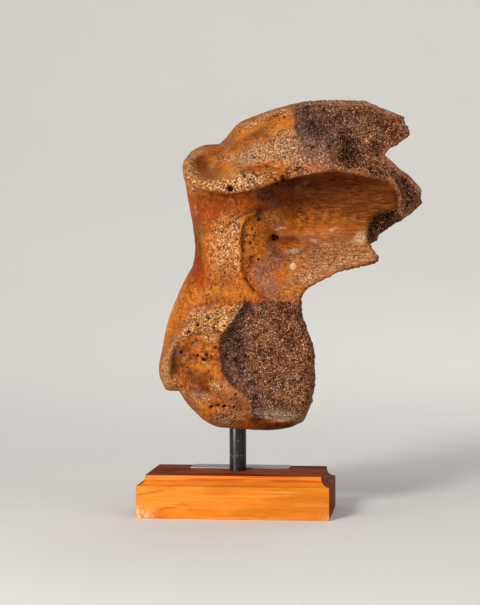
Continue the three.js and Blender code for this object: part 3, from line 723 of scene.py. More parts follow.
def tone_shares(points, facing, broken):
    """How strongly each tone lies at each point, from 0 to 1."""
    u, w = picture(points)
    wobble_u = u + 6 * lumps(points, 9, 21)
    wobble_w = w + 6 * lumps(points, 9, 31)
    patchy = ramp(0.3, 0.6, rough_noise(points, 7, 61))
    shares = {tone: np.zeros(len(points)) for tone in PATCHES}

    def lay(tone, share):
        shares[tone] = np.maximum(shares[tone], share)

    for tone, ovals in PATCHES.items():
        for x, z, half_width, half_height, strength, *turn in ovals:
            away = oval(wobble_u, wobble_w, (x, z), half_width, half_height, *turn)
            lay(tone, strength * ramp(1.6, 0.3, away) * facing)
    for number, tone in enumerate(BACK_TONES):
        cloud = ramp(0.52, 0.72, rough_noise(points, 30, 50 + 5 * number))
        lay(tone, 0.6 * cloud * (1 - facing))
    shares["stain"] *= broken
    lay("tan", rim_share(u, w) * facing)
    from_ridge = from_line(0.3 * wobble_u + 0.7 * u - 0.4, w, RIDGE)
    # Painted highlight along the lit face of the raised line
    lay("painted_highlight", ramp(2.0, 0.3, from_ridge) * (0.45 + 0.55 * patchy) * facing)
    # The painted shade under the overhang stays in the bowl, off the lip above it
    shares["painted_shade"] *= 1 - 0.9 * ramp(-1, 1, HEAD(u, w)) * ramp(330, 324, w) * ramp(90, 76, u)
    # Painted shade along the creases
    for line, width, strength in CREASES:
        away = from_line(0.3 * wobble_u + 0.7 * u, 0.3 * wobble_w + 0.7 * w, line)
        lay("painted_shade", strength * ramp(width, 0.2 * width, away) * facing)

    inset = HEAD(u, w)
    head_edge = ramp(4.2, 2.2, inset) * ramp(-1.5, 0.5, inset) * ramp(60, 70, u) * ramp(255, 262, w)
    inset = FOOT(u, w)
    foot_edge = ramp(4, 2, inset) * ramp(-1.5, 0.5, inset) * ramp(48, 58, u) * ramp(206, 198, w)
    shares["edge"] = np.maximum(head_edge, 0.6 * foot_edge) * facing * (0.35 + 0.65 * patchy)
    return shares


def near_crease(points):
    """Whether each point lies close to a crease or to the raised line."""
    u, w = picture(points)
    lines = [line for line, *_ in CREASES] + [RIDGE]
    return np.minimum.reduce([from_line(u, w, line) for line in lines]) < CREASE_REACH


def rim_share(u, w):
    """1 on the worn rims round the foot's hollow and the head's dish."""
    foot = ramp(5, -2, FOOT_HOLLOW(u, w)) * ramp(-0.5, 1.5, FOOT(u, w)) * ramp(201, 198, w)
    foot = foot * ramp(8, 0, FOOT_BREAK(u, w)) * ramp(106, 112, w)
    ring = ramp(1.75, 1.5, oval(u, w, (-22, 330), 19, 15.5))
    ring = ring * ramp(0.85, 1.1, oval(u, w, DISH, 19, 15, 12))
    upper_right = (u + 22) * 0.5 + (w - 331) * 0.87
    lip = ring * ramp(12, 3, upper_right) * ramp(304.5, 307, w)
    return np.maximum(foot, lip)


# Meshes

def new_object(name, mesh):
    piece = bpy.data.objects.new(name, mesh)
    bpy.context.scene.collection.objects.link(piece)
    return piece


def read_points(mesh):
    points = np.empty(len(mesh.vertices) * 3)
    mesh.vertices.foreach_get("co", points)
    return points.reshape(-1, 3) / MM


def write_points(mesh, points):
    mesh.vertices.foreach_set("co", (points * MM).ravel())
    mesh.update()


def bmesh_of(mesh):
    bm = bmesh.new()
    bm.from_mesh(mesh)
    return bm


def write_bmesh(bm, mesh):
    """Writes a bmesh into a mesh and frees it."""
    bm.to_mesh(mesh)
    bm.free()
    return mesh


def new_mesh(bm, name):
    return write_bmesh(bm, bpy.data.meshes.new(name))


def even_skin(node, step):
    """A copy of a solid's mesh, merged and made anew from squares of one size."""
    bm = bmesh_of(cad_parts[node].data)
    bmesh.ops.remove_doubles(bm, verts=bm.verts, dist=SAME_PLACE)
    rough = new_object(node + "_copy", new_mesh(bm, node + "_copy"))
    remesh = rough.modifiers.new("even squares", "REMESH")
    remesh.mode = "VOXEL"
    remesh.voxel_size = step
    bpy.context.view_layer.update()
    evaluated = rough.evaluated_get(bpy.context.evaluated_depsgraph_get())
    mesh = bpy.data.meshes.new_from_object(evaluated)
    bpy.data.objects.remove(rough)
    return mesh


def settle_mesh(mesh, rounds=4):
    write_points(mesh, settle(read_points(mesh), rounds))


def relax(mesh, factor=0.5):
    bm = bmesh_of(mesh)
    bmesh.ops.smooth_vert(
        bm, verts=bm.verts, factor=factor, use_axis_x=True, use_axis_y=True, use_axis_z=True
    )
    write_bmesh(bm, mesh)


def split_faces(mesh, wanted):
    """Splits each face in four where wanted, a test of face centres in millimetres, says so."""
    bm = bmesh_of(mesh)
    chosen = wanted(np.array([face.calc_center_median() for face in bm.faces]) / MM)
    edges = {edge for face, yes in zip(bm.faces, chosen) if yes for edge in face.edges}
    bmesh.ops.subdivide_edges(bm, edges=list(edges), cuts=1, use_grid_fill=True)
    write_bmesh(bm, mesh)


def model_bone(settings):
    """The bone's skin with its pores, pits and ragged edges, and the shares of its finishes."""
    mesh = even_skin("humerus", settings.skin_step)
    settle_mesh(mesh)
    relax(mesh)
    settle_mesh(mesh)
    pits = pit_list()
    wider_pits = [(x, z, radius + PIT_MARGIN) for x, z, radius in pits]

    def seen_or_broken(centres):
        facing = skin_way(centres)[1]
        in_pit = two_sided_pits(centres, facing, pits)[0]
        return (facing > 0.85) | (broken_share(centres) > 0.3) | (in_pit > 0)

    def seen_detail(centres):
        facing = skin_way(centres)[1]
        in_pit = two_sided_pits(centres, facing, wider_pits)[0]
        creased = near_crease(centres) & (facing > 0.6)
        porous = broken_share(centres) * facing * coarse_share(centres)
        return (porous > 0.6) | (in_pit > 0.05) | creased

    split_faces(mesh, seen_or_broken)
    settle_mesh(mesh, 3)
    split_faces(mesh, seen_detail)
    points = settle(read_points(mesh), 3)

    u, w = picture(points)
    normal, facing = skin_way(points)
    broken = broken_share(points)
    coarse = coarse_share(points)
    pore, relief = pore_relief(points, settings, broken, coarse)
    relief += (1 - broken) * 0.8 * lumps(points, 16, 7, 2)
    relief += (1 - broken) * 0.5 * lumps(points, 4.5, 17, 2)
    relief += broken * ramp(0.97, 0.6, facing) * 2.8 * lumps(points, 3.6, 27, 2)
    pan = ramp(1.15, 0.8, oval(u, w, PAN, 30, 44, 20)) * facing * (1 - broken)
    relief += pan * (2.6 * lumps(points, 9, 71, 2) + 1.4 * lumps(points, 3.6, 75, 2))
    in_pit, pit = two_sided_pits(points, facing, pits)
    in_pit, pit = in_pit * (1 - 0.6 * broken), pit * (1 - 0.6 * broken)
    write_points(mesh, points + normal * (relief - pit)[:, None])

    bowl = ramp(24, 50, u) * ramp(200, 214, w) * (1 - broken) * ramp(2, -1, HEAD(u, w))
    shares = {
        "broken": broken, "coarse": coarse, "pore": pore, "pit": in_pit, "bowl": bowl,
        "behind": (1 - facing) * (1 - broken), **tone_shares(points, facing, broken),
    }
    for name, values in shares.items():
        attribute = mesh.attributes.new(name, "FLOAT", "POINT")
        attribute.data.foreach_set("value", np.asarray(values, np.float32))
    return mesh


def pore_relief(points, settings, broken, coarse):
    """How much each point lies in a pore, from 0 to 1, and how far a broken face rises there."""
    size = settings.pore_size / MM
    depth = settings.pore_depth / MM
    drawn_out = points @ np.array([[0.86, 0, -0.24], [0, 1, 0], [-0.24, 0, 0.86]])
    bent = drawn_out + 1.2 * (noise(points, 4, 9)[:, None] - 0.5)
    pore = ramp(0.05, 0.36, from_wall(bent, size, 11))
    clump = ramp(0.1, 0.6, from_wall(points, 2.4 * size, 15))
    patchy = ramp(0.25, 0.6, rough_noise(points, 15, 13))
    pore = pore * (0.7 + 0.3 * patchy) * (0.25 + 0.75 * coarse)
    relief = -broken * depth * (pore + 0.6 * clump * coarse * patchy)
    relief += broken * (2.4 * lumps(points, 12, 5) + 1.6 * lumps(points, 4.5, 25, 2))
    return pore, relief


# Materials

class Wire:
    """A socket of a material, so that shader maths can be written as an expression."""

    def __init__(self, paint, socket):
        self.paint = paint
        self.socket = socket

    def maths(self, operation, first, second=0.0):
        return self.paint.node("ShaderNodeMath", {"operation": operation}, {0: first, 1: second})

    def __add__(self, other):
        return self.maths("ADD", self, other)

    def __sub__(self, other):
        return self.maths("SUBTRACT", self, other)

    def __rsub__(self, other):
        return self.maths("SUBTRACT", other, self)

    def __mul__(self, other):
        return self.maths("MULTIPLY", self, other)

    def __pow__(self, other):
        return self.maths("POWER", self, other)

    __radd__ = __add__
    __rmul__ = __mul__

    def most(self, other):
        return self.maths("MAXIMUM", self, other)

    def size(self):
        return self.maths("ABSOLUTE", self)

    def wave(self):
        return self.maths("SINE", self)

    def ramp(self, low, high, start=0.0, end=1.0):
        """Goes smoothly from start to end as the value goes from low to high."""
        return self.paint.node(
            "ShaderNodeMapRange",
            {"interpolation_type": "SMOOTHSTEP"},
            {0: self, 1: low, 2: high, 3: start, 4: end},
        )


class Paint:
    """The nodes of one material."""

    def __init__(self, name, **constants):
        self.material = bpy.data.materials.new(name)
        self.material.use_nodes = True
        self.tree = self.material.node_tree
        self.shader = self.tree.nodes["Principled BSDF"]
        for socket, value in constants.items():
            self.shader.inputs[socket.replace("_", " ")].default_value = value

    def node(self, kind, settings=None, inputs=None, output=0):
        made = self.tree.nodes.new(kind)
        for key, value in (settings or {}).items():
            setattr(made, key, value)
        for key, value in (inputs or {}).items():
            self.feed(made.inputs[key], value)
        return Wire(self, made.outputs[output])

    def feed(self, socket, value):
        """Links a wire to a socket, or sets the socket; a colour may be a hex code."""
        if isinstance(value, Wire):
            self.tree.links.new(value.socket, socket)
        elif socket.type == "RGBA":
            socket.default_value = (*(colour(value) if isinstance(value, str) else value), 1.0)
        else:
            socket.default_value = value

    def finish(self, **sockets):
        for name, value in sockets.items():
            self.feed(self.shader.inputs[name.replace("_", " ")], value)
        return self.material

    def places(self, stretch=(1, 1, 1)):
        """Object coordinates in millimetres, divided by stretch."""
        at = self.node("ShaderNodeTexCoord", output="Object")
        scale = tuple(1 / (MM * s) for s in stretch)
        return self.node("ShaderNodeMapping", {}, {"Vector": at, "Scale": scale})

    def axes(self, at):
        """The three parts of a place."""
        split = self.node("ShaderNodeSeparateXYZ", {}, {0: at})
        return tuple(Wire(self, split.socket.node.outputs[axis]) for axis in range(3))

    def share(self, name):
        return self.node("ShaderNodeAttribute", {"attribute_name": name}, output="Fac")

    def mix(self, first, second, share, blend_type="MIX"):
        settings = {"data_type": "RGBA", "blend_type": blend_type}
        return self.node("ShaderNodeMix", settings, {0: share, 6: first, 7: second}, 2)

    def darken(self, first, second, share):
        return self.mix(first, second, share, "MULTIPLY")

    def noise(self, at, size, detail=3.0, roughness=0.55, distortion=0.0):
        """Noise from about 0.3 to 0.7 with lumps about as wide as size."""
        inputs = {
            "Vector": at, "Scale": 1 / size, "Detail": detail,
            "Roughness": roughness, "Distortion": distortion,
        }
        return self.node("ShaderNodeTexNoise", {}, inputs)

    def cells(self, at, size, feature="F1"):
        """Distance to the nearest of scattered centres."""
        inputs = {"Vector": at, "Scale": 1 / size}
        return self.node("ShaderNodeTexVoronoi", {"feature": feature}, inputs)

    def walls(self, at, size):
        """Distance to the nearest wall between two cells."""
        return self.cells(at, size, "DISTANCE_TO_EDGE")

    def bend(self, at, size, reach):
        """Places moved about by noise, so that straight walls come out curved."""
        push = self.node("ShaderNodeTexNoise", {}, {"Vector": at, "Scale": 1 / size}, "Color")
        inputs = {0: push, 1: (reach, reach, reach), 2: at}
        return self.node("ShaderNodeVectorMath", {"operation": "MULTIPLY_ADD"}, inputs)

    def random_cells(self, at, size):
        """One number from 0 to 1 for each of many small cells."""
        random = self.node("ShaderNodeTexVoronoi", {}, {"Vector": at, "Scale": 1 / size}, "Color")
        return self.node("ShaderNodeSeparateColor", {}, {0: random})

    def bump(self, height, distance, strength=1.0):
        inputs = {"Strength": strength, "Distance": distance, "Height": height}
        return self.node("ShaderNodeBump", {}, inputs)


def coats(base, *rows):
    """Lays colours over a base in turn: how each is laid, its colour and its share."""
    for lay, tone, share in rows:
        base = lay(base, tone, share)
    return base


def bone_material(settings):
    paint = Paint("fossil_bone", Specular_IOR_Level=0.07)
    mix, darken, at = paint.mix, paint.darken, paint.places()
    broken, coarse, bowl, pit, pore, behind = map(
        paint.share, ("broken", "coarse", "bowl", "pit", "pore", "behind")
    )
    orange, brown, red, rust, sandy, tan, pale, mauve, stain, painted_shade = map(
        paint.share,
        ("orange", "brown", "red", "rust", "sandy", "tan", "pale", "mauve", "stain", "painted_shade"),
    )

    clouds = paint.noise(at, 22, 4, 0.6)
    blotch = paint.noise(at, 9, 4, 0.65)
    mottle = paint.noise(at, 4, 4, 0.65)
    grain = paint.noise(at, 1.5, 3, 0.75)
    fleck = paint.random_cells(at, 1.1)
    vein = paint.noise(at, 5.5, 5, 0.7, 1.4)
    upright = paint.noise(paint.places((1.0, 1.0, 5.0)), 1.6, 3, 0.65)
    level = paint.noise(paint.places((9.0, 1.0, 1.0)), 1.2, 4, 0.65)
    streaks = upright * (1 - bowl) + level * bowl
    uneven = (mottle + clouds).ramp(0.7, 1.05, 0.45, 1.0)
    calm = (red + 0.8 * brown + 0.7 * bowl).ramp(0, 1)
    speckle = 0.42 + 0.6 * tan + 0.65 * pale + 0.5 * sandy - 0.36 * calm - 0.25 * rust
    speckle = speckle.most(0.1)
    light_speck = mix("dc9446", "e3b580", (tan + pale + sandy).ramp(0.1, 1.0))
    holes = paint.cells(at, 1.3).ramp(0.34, 0.14) * grain.ramp(0.58, 0.44) * (tan + pale + 0.12)
    crack_at = paint.bend(paint.places((1.0, 1.0, 5.0)), 14.0, 5.0)
    crack = paint.walls(crack_at, 19).ramp(0.028, 0.0) * clouds.ramp(0.44, 0.52) * behind

    skin = coats(
        mix(settings.deep, settings.skin, (clouds + mottle).ramp(0.8, 1.15)),
        (mix, settings.orange, orange * uneven),
        (mix, settings.brown, brown * uneven),
        (mix, settings.red, red * uneven),
        (mix, "cf8634", orange * blotch.ramp(0.5, 0.68) * (0.8 - 0.5 * rust)),
        (mix, "6b4a26", orange * blotch.ramp(0.48, 0.32) * 0.7),
        (mix, "a87c50", orange * mottle.ramp(0.53, 0.66) * (0.5 - 0.4 * rust)),
        (mix, settings.rust, rust * (blotch + mottle).ramp(0.86, 1.14, 1.0, 0.45)),
        (mix, settings.tan, tan * mottle.ramp(0.38, 0.58, 0.4, 0.95)),
        (mix, settings.pale, pale * mottle.ramp(0.34, 0.5, 0.6, 0.95)),
        (mix, settings.mauve, mauve * mottle.ramp(0.34, 0.56, 0.5, 0.95)),
        (mix, "c8884c", sandy * (grain + mottle).ramp(0.85, 1.1) * 0.8),
        (darken, "74401c", vein.ramp(0.47, 0.35) * (0.85 - 0.55 * calm)),
        (mix, "cc8038", vein.ramp(0.55, 0.66) * (0.5 - 0.35 * calm)),
        (mix, light_speck, speckle * fleck.ramp(0.58, 0.92) * grain.ramp(0.4, 0.52) * 0.85),
        (darken, "7c4420", speckle * fleck.ramp(0.5, 0.08) * grain.ramp(0.64, 0.45)),
        (darken, "7a4520", streaks.ramp(0.5, 0.32) * (0.4 + 0.4 * bowl)),
        (mix, "d98a38", streaks.ramp(0.56, 0.72) * (0.08 + bowl * 0.42)),
        (darken, "5a321c", holes * 0.6),
        (darken, "4a2812", crack * 0.45),
        (mix, "c07c40", behind * vein.ramp(0.5, 0.64) * 0.35),
        # Painted highlights on lit ridges, rims and edges
        (mix, "d67c1e", paint.share("painted_highlight") * mottle.ramp(0.4, 0.6, 0.35, 0.9)),
    )

    bent = paint.bend(at, 3.0, 2.2)
    foam = paint.walls(bent, 2.0).ramp(0.06, 0.2)
    fine = paint.walls(bent, 1.4).ramp(0.04, 0.26)
    wide = paint.cells(at, 3.8).ramp(0.5, 0.2)
    deep = foam * (0.2 + 0.5 * coarse) + fine * (0.55 - 0.3 * coarse) + pore * 0.4
    deep = (deep + 0.3 * wide * coarse).ramp(0.25, 1.0)
    shade = (deep + 0.35 * painted_shade * deep.ramp(0.0, 0.3)) * (0.96 - 0.1 * stain)
    glint = mix("f6c498", "c8a298", stain)
    spongy = coats(
        mix(settings.strut, settings.warm_strut, clouds.ramp(0.4, 0.62)),
        (mix, "c8742a", orange * 0.9),
        (mix, "a4502a", red * 0.6),
        (mix, settings.mauve, mauve * 0.8),
        (mix, settings.pale, pale * 0.75),
        (mix, settings.stain, stain * (blotch + mottle).ramp(0.7, 1.1, 1.0, 0.6)),
        (mix, glint, fleck.ramp(0.56, 0.9) * grain.ramp(0.42, 0.56) * (0.9 - 0.15 * stain)),
        (darken, "6e4028", (vein + blotch).ramp(1.0, 0.8) * 0.85),
        (mix, settings.pore, shade),
    )

    rim = mix(settings.edge, "d8a884", fleck.ramp(0.5, 0.95))
    rim = darken(rim, "8a5840", fleck.ramp(0.3, 0.05) + fine * 0.3)
    base = coats(
        mix(skin, spongy, broken),
        (mix, rim, paint.share("edge") * 0.9),
        # Pale buff spots and painted highlights
        (mix, "dcc4a4", paint.share("cream_and_highlight") * grain.ramp(0.4, 0.52)),
        (mix, "585a5c", paint.share("blue") * mottle.ramp(0.3, 0.5) * 0.7),
        (mix, "60603a", paint.share("green") * mottle.ramp(0.3, 0.6) * 0.6),
        # Painted shade in hollows, holes, creases and under overhangs
        (darken, "74503c", painted_shade * (1 - 0.3 * streaks) * (1 - 0.3 * broken)),
        # Painted shade inside the vessel holes
        (darken, "1c100a", pit),
    )

    rough = (broken * 0.25 + mottle.ramp(0.3, 0.7, 0.42, 0.62) - 0.1 * red).most(0.36)
    skin_height = streaks * 0.4 + grain * 0.6 * speckle - holes * 0.9
    spongy_height = 1.6 - foam * (0.5 + 0.9 * coarse) - fine * 0.6 + grain * 0.4
    height = skin_height * (1 - broken) + spongy_height * broken + mottle * 0.6 - crack
    normal = paint.bump(height, 0.6 * MM, strength=0.85)
    return paint.finish(Base_Color=base, Roughness=rough, Normal=normal)


def wood_material(settings):
    paint = Paint("oiled_wood", Specular_IOR_Level=0.07)
    mix, darken, at = paint.mix, paint.darken, paint.places()
    across, deep, up = paint.axes(at)
    left = across.ramp(0, -80)
    top = up.ramp(39.3, 39.8)
    end = (across.size() - deep.size()).ramp(39.7, 40.1) * (1 - top)
    cove = up.ramp(29.6, 30.6) * up.ramp(39.6, 38.6)

    sway = paint.noise(paint.places((3.2, 1, 1)), 26, 2, 0.5)
    flame = (up * 0.22 - across * 0.035 + deep * 0.03 + sway * 16).wave()
    rings = ((deep * deep * 0.4 + up * up) ** 0.5 * 1.5 + sway * 6).wave()
    fibres = paint.noise(paint.places((26, 1, 1)), 0.9, 3, 0.6)
    lines = paint.noise(paint.places((34, 1, 1)), 2.6, 4, 0.6)
    pores = paint.cells(paint.places((10, 1, 1)), 0.8).ramp(0.26, 0.1)
    patches = paint.noise(paint.places((4, 1, 1)), 24, 3, 0.5)
    # Paler, rougher blur near the lower corners of the front
    corner = across.ramp(-66, -90) * up.ramp(15, 3) + across.ramp(74, 90) * up.ramp(8, 2) * 0.4
    corner = corner * deep.ramp(-20, -45)
    pale_corners = corner * paint.noise(at, 3.0, 4, 0.7).ramp(0.4, 0.6) * 0.7
    specks = paint.noise(at, 1.6, 2, 0.5).ramp(0.78, 0.81) * across.ramp(-20, 60)
    wood = coats(
        mix(settings.honey, settings.amber, patches.ramp(0.42, 0.62) * 0.6),
        (mix, settings.amber, flame.ramp(0.2, 1.0) * (0.15 + 0.45 * left)),
        (darken, "b06a30", flame.ramp(0.9, 1.0) * lines.ramp(0.45, 0.6) * left * 0.6),
        (mix, "f6a74c", lines.ramp(0.52, 0.7) * 0.4),
        (darken, "d08c50", lines.ramp(0.42, 0.28) * 0.4),
        (darken, "d09860", fibres.ramp(0.5, 0.3) * 0.35 + pores * 0.3),
        # Painted light: the cove lighter towards its top edge
        (mix, "e28028", cove * up.ramp(31, 39, 0.1, 0.5)),
        (darken, "c87238", cove * (1 - end) * lines.ramp(0.46, 0.6) * up.ramp(31, 36) * 0.8),
        # Painted shade: the top face darker than the front
        (darken, settings.top_shade, top),
        (mix, "9a5a34", top * lines.ramp(0.46, 0.62) * 0.55),
        (darken, "a06848", top * patches.ramp(0.5, 0.6) * 0.7),
        # Darker end grain, with painted shade on the shaded end faces and the ends of the coves
        (darken, "7c3a18", end * rings.ramp(-0.6, 0.8, 0.75, 1.0)),
        (mix, "f0cfb4", pale_corners.most(specks * 0.8)),
    )
    rough = fibres.ramp(0.3, 0.7, 0.36, 0.48) + pale_corners * 0.25 + top * 0.4 + end * 0.3
    height = fibres * 0.4 + lines * 0.3 - pores * 0.5 - specks
    normal = paint.bump(height, 0.12 * MM, strength=0.6)
    return paint.finish(Base_Color=wood, Roughness=rough, Normal=normal)


def rod_material(settings):
    paint = Paint("black_steel", Specular_IOR_Level=0.4)
    at = paint.places()
    up = paint.axes(at)[2]
    orange_peel = paint.noise(at, 0.9, 2, 0.5)
    dust = paint.noise(paint.places((1, 1, 3)), 2.2, 4, 0.65)
    chips = paint.noise(at, 2.4, 3, 0.6).ramp(0.69, 0.71)
    ring = up.ramp(53.6, 54.4) * up.ramp(55.6, 54.8) * paint.noise(at, 2.5, 2, 0.5).ramp(0.52, 0.58)
    worn = chips.most(ring * 0.7)
    base = paint.mix(settings.paint, "4a4746", dust.ramp(0.5, 0.75) * 0.4)
    base = paint.mix(base, "9a948e", worn)
    rough = dust.ramp(0.3, 0.7, 0.25, 0.31)
    normal = paint.bump(orange_peel * 0.3 - worn, 0.1 * MM, strength=0.3)
    return paint.finish(Base_Color=base, Roughness=rough, Metallic=worn * 0.9, Normal=normal)


def plaque_material(settings):
    paint = Paint("label_metal", Specular_IOR_Level=0.5)
    at = paint.places()
    brushed = paint.noise(paint.places((30, 0.35, 1)), 0.6, 3, 0.6)
    smudges = paint.noise(at, 9, 4, 0.6)
    spots = paint.noise(at, 1.8, 3, 0.6).ramp(0.62, 0.68)
    # Painted shade: the metal is deeper grey than bare metal, standing for the unlit surroundings
    # it reflects
    base = paint.mix(settings.metal, "a09ba0", brushed.ramp(0.35, 0.65) * 0.6)
    base = paint.mix(base, "7d7468", smudges.ramp(0.52, 0.7) * 0.4 + spots * 0.3)
    rough = smudges.ramp(0.3, 0.7, 0.28, 0.45) + brushed * 0.1
    metallic = 1 - spots * 0.6
    normal = paint.bump(brushed, 0.05 * MM, strength=0.4)
    return paint.finish(Base_Color=base, Roughness=rough, Metallic=metallic, Normal=normal)


def floor_material(settings):
    paint = Paint("pale_floor", Roughness=0.9, Specular_IOR_Level=0.2)
    cloud = paint.noise(paint.places(), 400, 3, 0.5)
    return paint.finish(Base_Color=paint.mix(settings.floor, "d8d5d0", cloud * 0.3))


# Pieces of the stand

COVE_STEPS = 10
HOLE_SIDES = 48
ROD_SIDES = 64
ROD_RISES = (26, 2, 12, 1, 1, 1, 1, 6, 68)  # shares of its height between its rings
ROD_ROUNDING = 0.6 * MM
PLAQUE_CORNER = 1.2 * MM
PLAQUE_ROUNDING = 0.35 * MM


def sharp_edges(bm, least_degrees):
    limit = math.radians(least_degrees)
    return [edge for edge in bm.edges if edge.is_manifold and edge.calc_face_angle() > limit]


def soften(bm, edges, width, segments=2):
    bmesh.ops.bevel(
        bm, geom=edges, offset=width, offset_type="OFFSET", affect="EDGES",
        segments=segments, profile=0.5, material=-1, clamp_overlap=True,
    )


def middle(item):
    verts = [item] if isinstance(item, bmesh.types.BMVert) else item.verts
    return tuple(sum((vert.co for vert in verts), Vector()) / len(verts))


def sorted_mesh(bm, name):
    """A new mesh with its parts sorted by place, because a bevel makes them in no fixed order."""
    for items in (bm.verts, bm.edges, bm.faces):
        for rank, item in enumerate(sorted(items, key=middle)):
            item.index = rank
        items.sort()
    return new_mesh(bm, name)


def solid_box(low, high):
    """A new bmesh of the box between two corners."""
    bm = bmesh.new()
    place = Matrix.Translation((low + high) / 2) @ Matrix.Diagonal((*(high - low), 1))
    bmesh.ops.create_cube(bm, size=1.0, matrix=place)
    return bm


def ring_of(bm, radius, height, sides, cap_ends=False):
    """The vertices of a new level circle round the upright axis."""
    place = Matrix.Translation((0, 0, height))
    return bmesh.ops.create_circle(
        bm, cap_ends=cap_ends, segments=sides, radius=radius, matrix=place
    )["verts"]


def lifted(bm, face, rise, keep=False):
    """Extrudes a face upwards and returns the new one; the old one goes unless it is kept."""
    made = bmesh.ops.extrude_face_region(bm, geom=[face])["geom"]
    risen = next(item for item in made if isinstance(item, bmesh.types.BMFace))
    bmesh.ops.translate(bm, verts=risen.verts, vec=(0, 0, rise))
    if not keep:
        bmesh.ops.delete(bm, geom=[face], context="FACES_ONLY")
    return risen


def model_base(settings):
    """A plank with a cove cut along its four top edges and a blind hole for the rod."""
    low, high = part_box("base")
    length, depth, height = high - low
    cove = settings.cove_radius
    half = Vector((length, depth, 0)) / 2
    bm = solid_box(-half, half + Vector((0, 0, height - settings.cove_quirk - cove)))
    top = max(bm.faces, key=lambda face: face.calc_center_median().z)
    turns = [math.radians(90) * step / COVE_STEPS for step in range(COVE_STEPS + 1)]
    for before, after in zip(turns, turns[1:]):
        inset = cove * (math.sin(after) - math.sin(before))
        rise = cove * (math.cos(before) - math.cos(after))
        bmesh.ops.inset_region(bm, faces=[top], thickness=inset, use_even_offset=True)
        bmesh.ops.translate(bm, verts=top.verts, vec=(0, 0, rise))
    lifted(bm, top, settings.cove_quirk)
    bmesh.ops.recalc_face_normals(bm, faces=bm.faces)
    soften(bm, sharp_edges(bm, 30), settings.edge_wear)

    top = max(bm.faces, key=lambda face: face.calc_area() if face.normal.z > 0.9 else 0)
    rim_edges = list(top.edges)
    bmesh.ops.delete(bm, geom=[top], context="FACES_ONLY")
    bmesh.ops.subdivide_edges(bm, edges=rim_edges, cuts=HOLE_SIDES // 4 - 1)
    outer = [edge for edge in bm.edges if edge.is_boundary]
    ring = ring_of(bm, ROD_HOLE_RADIUS * MM, height, HOLE_SIDES)
    ring_edges = [edge for edge in bm.edges if edge.verts[0] in ring]
    bmesh.ops.bridge_loops(bm, edges=outer + ring_edges)
    wall = bmesh.ops.extrude_edge_only(bm, edges=ring_edges)["geom"]
    floor = [item for item in wall if isinstance(item, bmesh.types.BMVert)]
    bmesh.ops.translate(bm, verts=floor, vec=(0, 0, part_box("rod")[0].z - height))
    bmesh.ops.contextual_create(bm, geom=floor)
    bmesh.ops.remove_doubles(bm, verts=bm.verts, dist=SAME_PLACE)
    bmesh.ops.recalc_face_normals(bm, faces=bm.faces)
    return sorted_mesh(bm, "base_plank")


def model_rod():
    low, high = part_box("rod")
    bm = bmesh.new()
    face = ring_of(bm, (high.x - low.x) / 2, low.z, ROD_SIDES, cap_ends=True)[0].link_faces[0]
    scale = (high.z - low.z) / sum(ROD_RISES)
    for number, rise in enumerate(ROD_RISES):
        face = lifted(bm, face, rise * scale, keep=number == 0)
    bmesh.ops.recalc_face_normals(bm, faces=bm.faces)
    soften(bm, sharp_edges(bm, 60), ROD_ROUNDING)
    return sorted_mesh(bm, "rod_bar")


def model_plaque():
    low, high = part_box("plaque")
    thickness = high.z - low.z
    bm = solid_box(low, high)
    upright = [
        edge for edge in bm.edges if abs(edge.verts[0].co.z - edge.verts[1].co.z) > thickness / 2
    ]
    soften(bm, upright, PLAQUE_CORNER, 4)
    rims = [edge for edge in sharp_edges(bm, 60) if edge.verts[0].co.z > low.z + thickness / 2]
    soften(bm, rims, PLAQUE_ROUNDING, 3)
    return sorted_mesh(bm, "plaque_plate")


def place_piece(name, mesh, material, node, sharp_from=180):
    """Adds a smooth piece in place of a solid; edges that turn more than sharp_from stay sharp."""
    mesh.name = name
    mesh.materials.clear()
    mesh.materials.append(material)
    mesh.polygons.foreach_set("use_smooth", [True] * len(mesh.polygons))
    if sharp_from < 180:
        mesh.set_sharp_from_angle(angle=math.radians(sharp_from))
    mesh.update()
    piece = new_object(name, mesh)
    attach(piece, "root")
    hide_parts(node)


# Settings, operators and panel

def tint(name, description, code):
    return FloatVectorProperty(
        name=name, description=description, default=colour(code), min=0, max=1, size=3,
        subtype="COLOR",
    )


def length(name, description, metres):
    return FloatProperty(
        name=name, description=description, default=metres, min=0.0001, unit="LENGTH",
        subtype="DISTANCE",
    )


def power(name, description, watts):
    return FloatProperty(name=name, description=description, default=watts, min=0, unit="POWER")


class BoneSettings(bpy.types.PropertyGroup):
    skin_step: length("Skin step", "Size of the squares that the bone's skin is made of", 3.35 * MM)
    pore_size: length("Pore size", "Distance between the pores of broken bone", 2.0 * MM)
    pore_depth: length("Pore depth", "Depth of the pores of broken bone", 1.2 * MM)
    skin: tint("Skin", "Colour of the whole bone surface", "a65412")
    deep: tint("Deep skin", "Darker brown of the bone surface", "844014")
    orange: tint("Orange", "Orange streaks and bands", "b06008")
    brown: tint("Brown", "Smooth brown hollows", "6e3a0c")
    red: tint("Red", "Smooth red-orange patches", "8c2a00")
    rust: tint("Rust", "Deep orange-brown of the smooth hollows", "602800")
    tan: tint("Tan", "Worn light brown skin and rims", "aa6f37")
    pale: tint("Pale", "Pale grey-brown, finely porous skin", "9c785a")
    mauve: tint("Mauve", "Grey-pink patches of the skin", "765044")
    stain: tint("Stain", "Grey-purple mineral stain", "6a4c44")
    strut: tint("Strut", "Bone between the pores of a broken face", "9e6644")
    warm_strut: tint("Warm strut", "Redder bone between the pores", "985834")
    # Painted shade inside the pores of a broken face
    pore: tint("Pore", "Inside of the pores of a broken face", "1e0f09")
    edge: tint("Edge", "Dense bone along the borders of the broken faces", "a86c4c")


